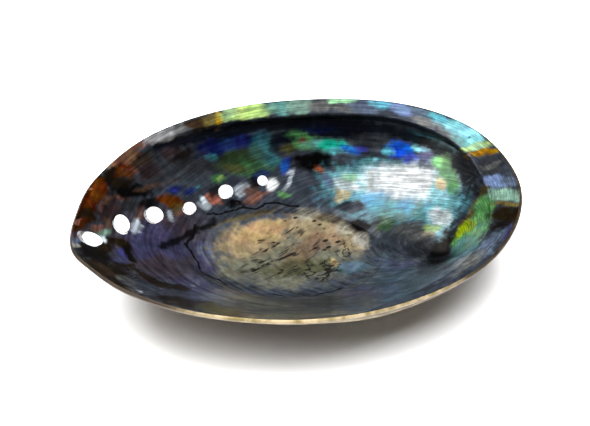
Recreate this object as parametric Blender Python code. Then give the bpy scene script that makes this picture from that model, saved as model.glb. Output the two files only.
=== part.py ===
"""Abalone shell lying on its back, with the hollow up.

Lengths are in millimetres until the mesh is made, in metres with +Z up. X runs along the shell, from
its young end at -X to the end with the spire at +X, and the flat shelf of the inner lip is on +Y.
The origin is on the surface that the shell rests on, under the middle of its outline.
"""

import math

import bpy
import numpy as np
from mathutils import Matrix, Vector

MM = 0.001

# Round the rim from the young end: x, y, height of the edge, width of the flat shelf inside it, and
# steepness of the wall below, from 0 to 1
RIM = (
    (-82.9, -6.5, 39.0, 0.0, 0.0),
    (-78.5, -17.5, 38.6, 0.0, 0.0),
    (-66.7, -32.9, 37.9, 0.0, 0.0),
    (-44.6, -47.6, 36.7, 0.0, 0.0),
    (-12.7, -57.9, 35.8, 0.0, 0.0),
    (20.0, -58.2, 35.2, 4.0, 0.0),
    (51.5, -48.4, 34.9, 6.9, 0.1),
    (73.1, -28.9, 34.4, 9.8, 0.45),
    (82.9, -4.0, 34.0, 12.2, 0.8),
    (77.5, 24.7, 34.3, 10.7, 1.0),
    (57.5, 45.2, 35.2, 8.6, 1.0),
    (26.7, 56.1, 36.2, 7.8, 1.0),
    (-10.5, 59.2, 36.6, 7.2, 0.8),
    (-45.0, 49.4, 37.3, 4.0, 0.3),
    (-68.9, 28.5, 38.5, 0.0, 0.0),
    (-79.5, 8.5, 38.9, 0.0, 0.0),
)
RIM_STEPS = 40
HALF_LENGTH = 82.9
HALF_WIDTH = 59.2

# The hollow: its lowest point in plan, that point's height, and the thickness there and at the rim
POLE = (5.0, 3.0)
FLOOR = 2.6
THICK_FLOOR = 3.1
THICK_RIM = 2.4

# Section of the hollow on the gentle and the steep side: two powers and the slope at the top
GENTLE = (2.4, 3.0, 1.4)
STEEP = (2.0, 4.2, 3.1)

# Knots of the inner edge without a shelf, from the hollow's top to the rim: inset from the rim
PLAIN_EDGE = (6.0, 4.8, 3.6, 2.5, 1.6, 0.8)
# The same with a shelf: inset as a share of the shelf's width, and depth over a steep wall
SHELF_EDGE = ((1.0, 7.5), (0.95, 3.7), (1.0, 2.5), (0.93, 1.7), (0.5, 0.6), (0.1, 0.1))
FULL_SHELF = 7.0
# How far the steep wall runs back under the shelf, and the depth that is left over a gentle one
TUCK_FROM = 5.0
TUCK_SHARE = 0.7
GENTLE_DEPTH = 0.6

# Round edge of the rim: inset and depth of its widest line and of its outer corner
EDGE_MIDDLE = (0.0, 0.9)
EDGE_OUTER = (0.5, 2.0)
OUTER_CURL = 0.6

# Mesh rings: over the hollow, then where the next ones lie between the knots of the inner edge
HOLLOW_RINGS = 14
EDGE_STEPS = (0.5, 1.0, 1.5, 2.0, 2.6, 3.2, 4.0, 5.0)

# The row of holes: middle of each open one in plan, half length and width, and turn of its oval
HOLES = (
    (-73.7, 1.6, 3.9, 2.4, -36.0),
    (-61.5, 12.5, 3.6, 2.8, 100.0),
    (-48.4, 20.1, 3.4, 3.1, -40.0),
    (-34.2, 26.8, 2.6, 2.5, 0.0),
    (-18.7, 35.7, 3.0, 2.8, 0.0),
    (-3.7, 39.5, 2.1, 2.1, 0.0),
)
# They slant between the wall's own normal and this way, up and to the front
HOLE_SLANT = (-0.18, -0.72, 0.67)
SLANT_SHARE = 0.7
# The pins that cut them: their length, and their width at the outer and the inner end
PIN_LENGTH = 14.0
PIN_TAPER = (0.88, 1.16)
# The closed ones go on from there, lower and nearer each other, to the spire
CLOSED = ((9.5, 41.0), (21.5, 40.0), (33.0, 37.5), (43.0, 33.0), (51.5, 26.0), (57.5, 17.0))
ROW_END = ((60.5, 7.0), (60.5, -3.0), (56.5, -10.0))
SPIRE = (51.0, -13.0)

# Relief: how high it stands and how far it spreads
ROW_GROOVE = (0.7, 4.5)
ROW_RIDGE = (1.5, 5.0)
HOLE_FUNNEL = (0.9, 4.2)
HOLE_MOUND = (1.3, 4.6)
SPIRE_HOLLOW = (5.0, 8.5)
SPIRE_MOUND = (3.6, 9.5)
SPIRE_PITCH = 0.34
SPIRE_SUTURE = 0.8

# The scar of the muscle: middle in plan, half length, half width, turn, and its relief
SCAR = (-3.0, 5.5)
SCAR_HALF = (34.0, 24.0)
SCAR_TURN = math.radians(-7)
SCAR_RISE = 0.7
SCAR_TROUGH = 0.5

# Growth ridges of the outside: how many, how high, and their turn about the spire as they shrink
GROWTH_RIDGES = 15
GROWTH_HEIGHT = 0.4
GROWTH_TWIST = 0.5


def smooth(value):
    """Ease from 0 to 1."""
    value = np.clip(value, 0.0, 1.0)
    return value * value * (3.0 - 2.0 * value)


def bell(distance, spread):
    """Round bump, 1 at its middle."""
    return np.exp(-((distance / spread) ** 2))


def catmull_rom(points, part):
    """Point of the curve between the second and third of four points."""
    first, second, third, fourth = points
    linear = third - first
    square = 2 * first - 5 * second + 4 * third - fourth
    cube = 3 * (second - third) + fourth - first
    return second + 0.5 * part * (linear + part * (square + part * cube))


def rim_curve():
    """Points of the rim's edge, close together, centred on the middle of its outline."""
    stations = np.array(RIM)
    around = [np.roll(stations, shift, axis=0)[:, None, :] for shift in (1, 0, -1, -2)]
    part = (np.arange(RIM_STEPS) / RIM_STEPS)[None, :, None]
    curve = catmull_rom(around, part).reshape(-1, 5)
    curve[:, :2] -= (curve[:, :2].max(axis=0) + curve[:, :2].min(axis=0)) / 2
    curve[:, 3:] = np.maximum(curve[:, 3:], 0.0)
    return curve


RIM_CURVE = rim_curve()


def rim_from(centre, angle):
    """Reach and height of the rim, and its shelf's width and wall's steepness, seen from a point."""
    offset = RIM_CURVE[:, :2] - centre
    bearing = np.arctan2(offset[:, 1], offset[:, 0])
    columns = (np.hypot(offset[:, 0], offset[:, 1]), *RIM_CURVE[:, 2:].T)
    return [np.interp(angle, bearing, column, period=2 * math.pi) for column in columns]


def two_powers(part, low, high, slope):
    """Curve from 0 to 1 made of two powers, with the given slope at 1."""
    return ((high - slope) * part**low + (slope - low) * part**high) / (high - low)


def hollow(part, steepness):
    """Height of the hollow, 0 at its floor and 1 at its top."""
    gentle = two_powers(part, *GENTLE)
    return gentle + (two_powers(part, *STEEP) - gentle) * steepness


def edge_knots(reach, height, width, steepness):
    """Knots of the inner edge's section, from the hollow's top to the rim."""
    shelf = smooth(width / FULL_SHELF)
    deep = GENTLE_DEPTH + (1 - GENTLE_DEPTH) * steepness
    tuck = TUCK_SHARE * np.maximum(width - TUCK_FROM, 0.0) * steepness
    run = PLAIN_EDGE[0] - PLAIN_EDGE[-1]
    slope = GENTLE[2] * (height - FLOOR) / (reach - PLAIN_EDGE[0] + GENTLE[2] * run)
    knots = []
    for number, (plain, (share, drop)) in enumerate(zip(PLAIN_EDGE, SHELF_EDGE)):
        plain_depth = slope * (plain - PLAIN_EDGE[-1]) + SHELF_EDGE[-1][1]
        inset = share * width - (tuck if number == 0 else 0.0)
        inset = plain + (inset - plain) * shelf
        depth = plain_depth + (drop * deep - plain_depth) * shelf
        knots.append(np.stack([reach - inset, height - depth]))
    return knots


def section(ring, angle):
    """Inner and outer points of the section, out from the pole and up, at each ring and angle."""
    reach, height, width, steepness = rim_from(POLE, angle)
    knots = edge_knots(reach, height, width, steepness)
    top = knots[0]
    part = np.minimum(ring / HOLLOW_RINGS, 1.0)
    rise = top[1] - FLOOR
    step = 0.001
    climb = hollow(part + step, steepness) - hollow(np.maximum(part - step, 0.0), steepness)
    slope = np.arctan(climb / (2 * step) * rise / top[0])
    inner = np.stack([part * top[0], FLOOR + rise * hollow(part, steepness)])
    thick = THICK_FLOOR + (THICK_RIM - THICK_FLOOR) * part
    outer = inner + thick * np.stack([np.sin(slope), -np.cos(slope)])

    along = np.stack([np.cos(slope), np.sin(slope)])
    before = knots[1] - 2 * along * np.hypot(*(knots[1] - top))
    chain = np.stack([before, *knots, 2 * knots[-1] - knots[-2]])
    place = np.interp(ring, HOLLOW_RINGS + np.arange(len(EDGE_STEPS) + 1), (0.0, *EDGE_STEPS))
    span = np.minimum(place.astype(int), len(knots) - 2)
    column = np.arange(len(place))
    four = [chain[span + shift, :, column].T for shift in range(4)]
    on_edge = ring > HOLLOW_RINGS
    inner = np.where(on_edge, catmull_rom(four, place - span), inner)

    corner = np.stack([reach - EDGE_OUTER[0], height - EDGE_OUTER[1]])
    chord = np.arctan2(corner[1] - outer[1], corner[0] - outer[0])
    lean = chord + OUTER_CURL * (chord - slope)
    length = np.hypot(*(corner - outer))
    ahead = np.stack([np.cos(lean), np.sin(lean)]) * length
    share = np.maximum(ring - HOLLOW_RINGS, 0) / len(EDGE_STEPS)
    ease = share * share * (3 - 2 * share)
    start_pull = share * (1 - share) ** 2
    end_pull = share * share * (share - 1)
    bridge = outer + (corner - outer) * ease + along * length * start_pull + ahead * end_pull
    outer = np.where(on_edge, bridge, outer)
    return inner, outer


def in_space(angle, points):
    """Points of a section turned to their angle about the pole."""
    return np.stack(
        [POLE[0] + points[0] * np.cos(angle), POLE[1] + points[0] * np.sin(angle), points[1]],
        axis=1,
    )


def ring_grid(rings):
    """Ring number and angle of a square grid's points wrapped into rings, and its triangles."""
    side = 2 * rings + 1
    line = np.arange(-rings, rings + 1)
    across, up = (values.ravel() for values in np.meshgrid(line, line))
    ring = np.maximum(abs(across), abs(up))
    wide = abs(across) >= abs(up)
    safe_across = np.where(across == 0, 1, across)
    safe_up = np.where(up == 0, 1, up)
    turn = np.where(
        wide,
        math.pi / 4 * up / safe_across + math.pi * (across < 0),
        math.pi / 2 - math.pi / 4 * across / safe_up + math.pi * (up < 0),
    )
    angle = np.arctan2(HALF_WIDTH * np.sin(turn), HALF_LENGTH * np.cos(turn))
    corner = (np.arange(side - 1)[:, None] * side + np.arange(side - 1)).ravel()
    square = np.stack([corner, corner + 1, corner + side + 1, corner + side], axis=1)
    middle = across[square].mean(axis=1) * up[square].mean(axis=1)
    rising = square[middle > 0]
    falling = square[middle < 0]
    triangles = [rising[:, [0, 1, 2]], rising[:, [0, 2, 3]], falling[:, [0, 1, 3]], falling[:, [1, 2, 3]]]
    last = np.flatnonzero(ring == rings)
    loop = last[np.argsort(turn[last] % (2 * math.pi))]
    return ring, angle, np.concatenate(triangles), loop


def band(lower, upper):
    """Triangles between two loops of points."""
    lower_next = np.roll(lower, -1)
    upper_next = np.roll(upper, -1)
    first = np.stack([lower, lower_next, upper_next], axis=1)
    second = np.stack([lower, upper_next, upper], axis=1)
    return np.concatenate([first, second])


def row_curve():
    """Points along the row of holes, from the young end to the spire."""
    path = [hole[:2] for hole in HOLES] + [*CLOSED, *ROW_END, SPIRE]
    path = np.array([np.subtract(np.multiply(path[0], 2), path[1]), *path, path[-1]])
    part = (np.arange(12) / 12)[None, :, None]
    around = [path[shift : len(path) - 3 + shift, None, :] for shift in range(4)]
    return catmull_rom(around, part).reshape(-1, 2)


def distance_to(points, places):
    """Distance in plan from each point to the nearest of the places."""
    places = np.asarray(places)
    gap = points[:, None, :2] - places[None, :, :]
    return np.hypot(gap[..., 0], gap[..., 1]).min(axis=1)


def spire_relief(points):
    """Coils of the spire: a mound with a spiral seam, as a share of its height."""
    gap = points[:, :2] - SPIRE
    reach = np.hypot(gap[:, 0], gap[:, 1])
    bearing = np.arctan2(gap[:, 1], gap[:, 0])
    coil = np.log(np.maximum(reach, 0.5)) / SPIRE_PITCH + bearing
    seam = bell(np.sin(coil / 2), 0.35) * smooth(reach / 3) * (1 - smooth((reach - 9) / 6))
    return bell(reach, SPIRE_MOUND[1]) * SPIRE_MOUND[0] - SPIRE_SUTURE * seam


def growth(points):
    """How grown the shell was when each point was its edge: 0 at the spire, 1 at the rim."""
    gap = points[:, :2] - SPIRE
    reach = np.hypot(gap[:, 0], gap[:, 1])
    bearing = np.arctan2(gap[:, 1], gap[:, 0])
    grown = np.ones(len(points))
    for _ in range(4):
        twist = GROWTH_TWIST * np.log(np.clip(grown, 0.05, 1.0))
        full = rim_from(SPIRE, bearing - twist)[0]
        grown = reach / full
    return grown, full


def inner_relief(points):
    """Height into the hollow of the inside's grooves, funnels and scar."""
    row = row_curve()
    fade = smooth((distance_to(points, [SPIRE]) - 12) / 20)
    relief = -ROW_GROOVE[0] * bell(distance_to(points, row), ROW_GROOVE[1]) * fade
    holes = [hole[:2] for hole in HOLES]
    relief -= HOLE_FUNNEL[0] * bell(distance_to(points, holes), HOLE_FUNNEL[1])
    relief -= 0.5 * HOLE_FUNNEL[0] * bell(distance_to(points, CLOSED[:3]), HOLE_FUNNEL[1])
    relief -= SPIRE_HOLLOW[0] * bell(distance_to(points, [SPIRE]), SPIRE_HOLLOW[1])
    gap = points[:, :2] - SCAR
    along = gap[:, 0] * math.cos(SCAR_TURN) + gap[:, 1] * math.sin(SCAR_TURN)
    over = gap[:, 1] * math.cos(SCAR_TURN) - gap[:, 0] * math.sin(SCAR_TURN)
    oval = np.hypot(along / SCAR_HALF[0], over / SCAR_HALF[1])
    relief += SCAR_RISE * smooth((1.0 - oval) / 0.15)
    return relief - SCAR_TROUGH * bell(oval - 1.04, 0.06)


def outer_relief(points, edge):
    """Height outwards of the outside's ridges and mounds, with the rim left as it is."""
    row = row_curve()
    fade = smooth((distance_to(points, [SPIRE]) - 6) / 14)
    relief = ROW_RIDGE[0] * bell(distance_to(points, row), ROW_RIDGE[1]) * (0.4 + 0.6 * fade)
    holes = [hole[:2] for hole in HOLES]
    relief += HOLE_MOUND[0] * bell(distance_to(points, holes), HOLE_MOUND[1])
    for number, place in enumerate(CLOSED):
        height = HOLE_MOUND[0] * (0.9 - 0.1 * number)
        relief += height * bell(distance_to(points, [place]), HOLE_MOUND[1])
    relief += spire_relief(points)
    grown, full = growth(points)
    wave = np.sin(2 * math.pi * GROWTH_RIDGES * grown)
    relief += GROWTH_HEIGHT * wave * np.minimum(full / 100, 1.0) * smooth(grown * 3)
    return relief * edge


def make_material(name, color, roughness, metallic):
    """Principled material of one colour."""
    material = bpy.data.materials.new(name)
    material.use_nodes = True
    surface = material.node_tree.nodes["Principled BSDF"]
    surface.inputs["Base Color"].default_value = (*color, 1.0)
    surface.inputs["Roughness"].default_value = roughness
    surface.inputs["Metallic"].default_value = metallic
    return material


def make_mesh(name, points, triangles):
    """Mesh in metres from points in millimetres."""
    mesh = bpy.data.meshes.new(name)
    mesh.from_pydata((points * MM).tolist(), [], triangles.tolist())
    mesh.update()
    return mesh


def normals_of(mesh):
    """Outward direction at each point of a mesh."""
    normals = np.empty(len(mesh.vertices) * 3, dtype=np.float32)
    mesh.vertices.foreach_get("normal", normals)
    return normals.reshape(-1, 3).astype(float)


def make_shell():
    """The shell before its holes: inner and outer sheet, joined round the rim."""
    rings = HOLLOW_RINGS + len(EDGE_STEPS)
    ring, angle, triangles, loop = ring_grid(rings)
    inner, outer = section(ring, angle)
    reach, height, *_ = rim_from(POLE, angle[loop])
    middle = np.stack([reach - EDGE_MIDDLE[0], height - EDGE_MIDDLE[1]])
    points = np.concatenate(
        [in_space(angle, inner), in_space(angle, outer), in_space(angle[loop], middle)]
    )
    count = len(ring)
    rim = 2 * count + np.arange(len(loop))
    faces = np.concatenate(
        [triangles, triangles[:, ::-1] + count, band(rim, loop), band(loop + count, rim)]
    )
    smooth_mesh = make_mesh("smooth_shell", points, faces)
    normals = normals_of(smooth_mesh)
    bpy.data.meshes.remove(smooth_mesh)

    relief = np.zeros(len(points))
    inside = smooth((rings - ring) / (rings - HOLLOW_RINGS))
    relief[:count] = inner_relief(points[:count]) * inside
    relief[count : 2 * count] = outer_relief(points[count : 2 * count], smooth((rings - ring) / 3))
    points += normals * relief[:, None]
    points[:, 2] = np.maximum(points[:, 2], 0.0)
    return make_mesh("abalone_shell", points, faces)


def wall_at(x, y):
    """Points of the inner and the outer surface, one behind the other, at a place in plan."""
    offset = np.array([x - POLE[0], y - POLE[1]])
    angle = math.atan2(offset[1], offset[0])
    steps = np.linspace(0, HOLLOW_RINGS, 400)
    inner, outer = section(steps, np.full(len(steps), angle))
    nearest = [np.argmin(abs(inner[0] - np.hypot(*offset)))]
    return [in_space(angle, sheet[:, nearest])[0] for sheet in (inner, outer)]


def make_cutter(number, hole):
    """Tapered oval pin that cuts one open hole, wider to the inside."""
    x, y, half_length, half_width, turn = hole
    inner, outer = wall_at(x, y)
    normal = Vector(inner - outer).normalized()
    axis = normal.lerp(Vector(HOLE_SLANT), SLANT_SHARE).normalized()
    level = Vector((0, 0, 1)).cross(axis).normalized()
    frame = Matrix((level, axis.cross(level), axis)).transposed().to_4x4()
    frame.translation = Vector((inner + outer) / 2) * MM
    bpy.ops.mesh.primitive_cone_add(
        vertices=16, radius1=PIN_TAPER[0] * MM, radius2=PIN_TAPER[1] * MM, depth=PIN_LENGTH * MM
    )
    cutter = bpy.context.object
    cutter.name = f"hole_cutter_{number}"
    oval = Matrix.Diagonal((half_length, half_width, 1.0, 1.0))
    cutter.matrix_world = frame @ Matrix.Rotation(math.radians(turn), 4, "Z") @ oval
    cutter.hide_render = True
    cutter.display_type = "WIRE"
    return cutter


def main():
    """Build the shell and cut its open holes."""
    for item in list(bpy.data.objects):
        bpy.data.objects.remove(item, do_unlink=True)
    shell = bpy.data.objects.new("abalone_shell", make_shell())
    bpy.context.collection.objects.link(shell)
    shell.data.materials.append(make_material("nacre", (0.22, 0.26, 0.30), 0.25, 0.3))
    for number, hole in enumerate(HOLES, 1):
        cut = shell.modifiers.new(f"hole_{number}", "BOOLEAN")
        cut.operation = "DIFFERENCE"
        cut.object = make_cutter(number, hole)
    shell.data.shade_smooth()


main()
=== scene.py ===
"""Looks of the abalone shell: nacre inside, worn brown layer outside, pale studio floor.

Lengths are in millimetres in the shell's own classes, as a carver would note them, and become metres
where a mesh is made. +X runs from the young end to the spire, +Y to the side with the flat shelf.
"""

import logging
import math
from dataclasses import dataclass, field
from enum import Enum
from typing import Sequence

import bpy
import numpy as np
from mathutils import Matrix, Vector, noise


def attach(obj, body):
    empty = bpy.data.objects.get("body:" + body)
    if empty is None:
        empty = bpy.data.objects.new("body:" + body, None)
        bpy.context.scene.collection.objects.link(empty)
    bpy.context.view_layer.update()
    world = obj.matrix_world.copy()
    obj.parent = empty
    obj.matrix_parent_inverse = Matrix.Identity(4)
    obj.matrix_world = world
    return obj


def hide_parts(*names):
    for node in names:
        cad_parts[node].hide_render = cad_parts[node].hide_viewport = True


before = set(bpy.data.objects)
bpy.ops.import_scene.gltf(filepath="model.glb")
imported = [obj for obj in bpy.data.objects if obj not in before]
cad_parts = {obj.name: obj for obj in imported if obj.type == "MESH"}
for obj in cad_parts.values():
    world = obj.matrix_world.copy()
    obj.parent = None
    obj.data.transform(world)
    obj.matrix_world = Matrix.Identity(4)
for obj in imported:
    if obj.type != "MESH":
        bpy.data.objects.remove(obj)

LOG = logging.getLogger("abalone")
MM = 0.001
NODE = "abalone_shell"
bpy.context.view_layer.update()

SHARP_ANGLE = math.radians(50)
NOISE_SHIFT = (17.3, 5.1, 9.7)

Array = np.ndarray


def smooth(value: Array) -> Array:
    """Ease from 0 to 1."""
    value = np.clip(value, 0.0, 1.0)
    return value * value * (3.0 - 2.0 * value)


def bell(distance: Array, spread: float) -> Array:
    """Round bump, 1 at its middle."""
    return np.exp(-((distance / spread) ** 2))


def catmull_rom(points: Sequence[Array], part: Array) -> Array:
    """Point of a curve through knots.

    Args:
        points: The four knots round the span, or arrays of them.
        part: How far along the span, from 0 to 1.

    Returns:
        The point between the second and the third knot.
    """
    first, second, third, fourth = points
    linear = third - first
    square = 2 * first - 5 * second + 4 * third - fourth
    cube = 3 * (second - third) + fourth - first
    return second + 0.5 * part * (linear + part * (square + part * cube))


def clouds(points: Array, size: float, seed: float, octaves: int = 3) -> Array:
    """Soft fractal noise over a set of places.

    Args:
        points: Places, in millimetres.
        size: Size of the largest lumps, in millimetres.
        seed: Shift that makes one field unlike another.
        octaves: How many finer layers are added.

    Returns:
        One value for each place, about -1 to 1.
    """
    shift = Vector([seed * part for part in NOISE_SHIFT])
    scale = 1.0 / size
    return np.array([noise.fractal(Vector(p) * scale + shift, 1.0, 2.0, octaves) for p in points])


def distance_to(points: Array, places: Sequence[Sequence[float]]) -> Array:
    """Distance in plan to the nearest of some places.

    Args:
        points: Places that are measured, one row each.
        places: Places that they are measured from.

    Returns:
        One distance for each point.
    """
    spots = np.asarray(places, float)
    nearest = np.full(len(points), np.inf)
    for spot in spots:
        gap = np.hypot(points[:, 0] - spot[0], points[:, 1] - spot[1])
        nearest = np.minimum(nearest, gap)
    return nearest


@dataclass(frozen=True)
class Hole:
    """One open breathing hole: its place in plan, half length and width, and turn of its oval."""

    x: float
    y: float
    half_length: float
    half_width: float
    turn: float


@dataclass(frozen=True)
class Section:
    """Sizes of the shell's radial section, in millimetres."""

    floor: float = 2.6
    thick_floor: float = 3.1
    thick_rim: float = 2.4
    gentle: tuple[float, float, float] = (2.4, 3.0, 1.4)
    steep: tuple[float, float, float] = (2.0, 4.2, 3.1)
    plain_edge: tuple[float, ...] = (6.0, 4.8, 3.6, 2.5, 1.6, 0.8)
    shelf_edge: tuple[tuple[float, float], ...] = (
        (1.0, 7.5), (0.95, 3.7), (1.0, 2.5), (0.93, 1.7), (0.5, 0.6), (0.1, 0.1),
    )
    full_shelf: float = 7.0
    tuck_from: float = 5.0
    tuck_share: float = 0.7
    gentle_depth: float = 0.6
    rim_bulge: tuple[float, float] = (0.65, 0.15)
    outer_corner: tuple[float, float] = (0.5, 2.0)
    outer_curl: float = 0.6


@dataclass(frozen=True)
class ShellForm:
    """The shell's form by place in plan: the solid's, with a shelf 0.5 mm wider at one front station."""

    rim: tuple[tuple[float, ...], ...] = (
        (-82.9, -6.5, 39.0, 0.0, 0.0),
        (-78.5, -17.5, 38.6, 0.0, 0.0),
        (-66.7, -32.9, 37.9, 0.0, 0.0),
        (-44.6, -47.6, 36.7, 0.0, 0.0),
        (-12.7, -57.9, 35.8, 0.0, 0.0),
        (20.0, -58.2, 35.2, 4.5, 0.0),
        (51.5, -48.4, 34.9, 6.9, 0.1),
        (73.1, -28.9, 34.4, 9.8, 0.45),
        (82.9, -4.0, 34.0, 12.2, 0.8),
        (77.5, 24.7, 34.3, 10.7, 1.0),
        (57.5, 45.2, 35.2, 8.6, 1.0),
        (26.7, 56.1, 36.2, 7.8, 1.0),
        (-10.5, 59.2, 36.6, 7.2, 0.8),
        (-45.0, 49.4, 37.3, 4.0, 0.3),
        (-68.9, 28.5, 38.5, 0.0, 0.0),
        (-79.5, 8.5, 38.9, 0.0, 0.0),
    )
    pole: tuple[float, float] = (5.0, 3.0)
    section: Section = Section()
    holes: tuple[Hole, ...] = (
        Hole(-73.7, 1.6, 3.9, 2.4, -36.0),
        Hole(-61.5, 12.5, 3.6, 2.8, 100.0),
        Hole(-48.4, 20.1, 3.4, 3.1, -40.0),
        Hole(-34.2, 26.8, 2.6, 2.5, 0.0),
        Hole(-18.7, 35.7, 3.0, 2.8, 0.0),
        Hole(-3.7, 39.5, 2.1, 2.1, 0.0),
    )
    hole_slant: tuple[float, float, float] = (-0.18, -0.72, 0.67)
    slant_share: float = 0.7
    pin_profile: tuple[tuple[float, float], ...] = (
        (-7.0, 1.3), (-2.6, 0.97), (-1.2, 0.93), (0.4, 0.96), (1.3, 1.08), (2.2, 1.3), (7.0, 2.0),
    )
    closed: tuple[tuple[float, float], ...] = (
        (9.5, 41.0), (21.5, 40.0), (33.0, 37.5), (43.0, 33.0), (51.5, 26.0), (57.5, 17.0),
    )
    row_end: tuple[tuple[float, float], ...] = ((60.5, 7.0), (60.5, -3.0), (56.5, -10.0))
    spire: tuple[float, float] = (51.0, -13.0)
    scar: tuple[float, float] = (-3.0, 5.5)
    scar_half: tuple[float, float] = (34.0, 24.0)
    scar_turn: float = math.radians(-7)
    growth_twist: float = 0.5
    growth_rounds: int = 4

    def rim_curve(self, steps: int = 40) -> Array:
        """Points of the rim's edge, centred on the middle of its outline.

        Args:
            steps: Points between two stations.

        Returns:
            Rows of x, y, height, shelf width and wall steepness.
        """
        stations = np.array(self.rim)
        around = [np.roll(stations, shift, axis=0)[:, None, :] for shift in (1, 0, -1, -2)]
        part = (np.arange(steps) / steps)[None, :, None]
        curve = catmull_rom(around, part).reshape(-1, stations.shape[1])
        curve[:, :2] -= (curve[:, :2].max(axis=0) + curve[:, :2].min(axis=0)) / 2
        curve[:, 3:] = np.maximum(curve[:, 3:], 0.0)
        return curve

    def rim_from(self, centre: Sequence[float], angle: Array) -> list[Array]:
        """Reach and height of the rim, and its shelf's width and wall's steepness, from a point.

        Args:
            centre: The point in plan that looks out.
            angle: Directions, in radians.

        Returns:
            Reach, height, width and steepness, one array each.
        """
        curve = self.rim_curve()
        offset = curve[:, :2] - centre
        bearing = np.arctan2(offset[:, 1], offset[:, 0])
        columns = (np.hypot(offset[:, 0], offset[:, 1]), *curve[:, 2:].T)
        return [np.interp(angle, bearing, column, period=2 * math.pi) for column in columns]

    def hollow(self, part: Array, steepness: Array) -> Array:
        """Height of the hollow, 0 at its floor and 1 at its top.

        Args:
            part: How far out from the pole, from 0 to 1.
            steepness: Steepness of the wall there, from 0 to 1.

        Returns:
            The share of the full height.
        """
        curves = []
        for low, high, slope in (self.section.gentle, self.section.steep):
            rise = (high - slope) * part**low + (slope - low) * part**high
            curves.append(rise / (high - low))
        return curves[0] + (curves[1] - curves[0]) * steepness

    def edge_knots(self, reach: Array, height: Array, width: Array, steepness: Array) -> list[Array]:
        """Knots of the inner edge's section, from the hollow's top to the rim.

        Args:
            reach: Distance of the rim from the pole.
            height: Height of the rim.
            width: Width of the shelf.
            steepness: Steepness of the wall.

        Returns:
            Six knots, each with its distance out and its height.
        """
        size = self.section
        shelf = smooth(width / size.full_shelf)
        deep = size.gentle_depth + (1 - size.gentle_depth) * steepness
        tuck = size.tuck_share * np.maximum(width - size.tuck_from, 0.0) * steepness
        edge = size.plain_edge
        slope_at_top = size.gentle[2]
        run = edge[0] - edge[-1]
        slope = slope_at_top * (height - size.floor) / (reach - edge[0] + slope_at_top * run)
        knots = []
        for number, (plain, (share, drop)) in enumerate(zip(edge, size.shelf_edge)):
            plain_depth = slope * (plain - edge[-1]) + size.shelf_edge[-1][1]
            inset = share * width - (tuck if number == 0 else 0.0)
            inset = plain + (inset - plain) * shelf
            depth = plain_depth + (drop * deep - plain_depth) * shelf
            knots.append(np.stack([reach - inset, height - depth]))
        return knots

    def sheets(self, part: Array, along_edge: Array, angle: Array) -> tuple[Array, Array]:
        """Inner and outer surface at places given by their radial section.

        Args:
            part: How far over the hollow, from 0 to 1.
            along_edge: How far from the hollow's top to the rim, from 0 to 1.
            angle: Direction from the pole.

        Returns:
            Points of the inner and of the outer surface, in space.
        """
        size = self.section
        reach, height, width, steepness = self.rim_from(self.pole, angle)
        knots = self.edge_knots(reach, height, width, steepness)
        top = knots[0]
        rise = top[1] - size.floor
        step = 0.001
        climb = self.hollow(part + step, steepness)
        climb = climb - self.hollow(np.maximum(part - step, 0.0), steepness)
        slope = np.arctan(climb / (2 * step) * rise / top[0])
        inner = np.stack([part * top[0], size.floor + rise * self.hollow(part, steepness)])
        thick = size.thick_floor + (size.thick_rim - size.thick_floor) * part
        outer = inner + thick * np.stack([np.sin(slope), -np.cos(slope)])

        along = np.stack([np.cos(slope), np.sin(slope)])
        before = knots[1] - 2 * along * np.hypot(*(knots[1] - top))
        chain = np.stack([before, *knots, 2 * knots[-1] - knots[-2]])
        place = along_edge * (len(knots) - 1)
        span = np.minimum(place.astype(int), len(knots) - 2)
        column = np.arange(len(place))
        four = [chain[span + shift, :, column].T for shift in range(4)]
        on_edge = along_edge > 0
        inner = np.where(on_edge, catmull_rom(four, place - span), inner)

        corner = np.stack([reach - size.outer_corner[0], height - size.outer_corner[1]])
        chord = np.arctan2(corner[1] - outer[1], corner[0] - outer[0])
        lean = chord + size.outer_curl * (chord - slope)
        length = np.hypot(*(corner - outer))
        ahead = np.stack([np.cos(lean), np.sin(lean)]) * length
        ease = along_edge * along_edge * (3 - 2 * along_edge)
        start_pull = along_edge * (1 - along_edge) ** 2
        end_pull = along_edge * along_edge * (along_edge - 1)
        bridge = outer + (corner - outer) * ease + along * length * start_pull + ahead * end_pull
        outer = np.where(on_edge, bridge, outer)
        return self.in_space(angle, inner), self.in_space(angle, outer)

    def rim_cap(self, share: Array, angle: Array) -> Array:
        """Points of the rim's round edge.

        Args:
            share: How far round, 0 at the inner side and 1 at the outer corner.
            angle: Direction from the pole.

        Returns:
            Points in space.
        """
        size = self.section
        reach, height, _, _ = self.rim_from(self.pole, angle)
        start = np.stack([reach - size.plain_edge[-1], height - size.shelf_edge[-1][1]])
        end = np.stack([reach - size.outer_corner[0], height - size.outer_corner[1]])
        bulge = np.array(size.rim_bulge)[:, None] * np.sin(math.pi * share)
        return self.in_space(angle, start + (end - start) * share + bulge)

    def in_space(self, angle: Array, points: Array) -> Array:
        """Turn a section's points to their angle about the pole.

        Args:
            angle: Direction of each point from the pole.
            points: Distance out and height of each point.

        Returns:
            Points in space, one row each.
        """
        x = self.pole[0] + points[0] * np.cos(angle)
        y = self.pole[1] + points[0] * np.sin(angle)
        return np.stack([x, y, points[1]], axis=1)

    def row_curve(self, steps: int = 12) -> Array:
        """Run along the row of holes, from the young end to the spire.

        Args:
            steps: Points between two holes.

        Returns:
            Points in plan, one row each.
        """
        path = [(hole.x, hole.y) for hole in self.holes] + [*self.closed, *self.row_end, self.spire]
        ahead = np.subtract(np.multiply(path[0], 2), path[1])
        knots = np.array([ahead, *path, path[-1]])
        part = (np.arange(steps) / steps)[None, :, None]
        around = [knots[shift : len(knots) - 3 + shift, None, :] for shift in range(4)]
        return catmull_rom(around, part).reshape(-1, 2)

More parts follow.
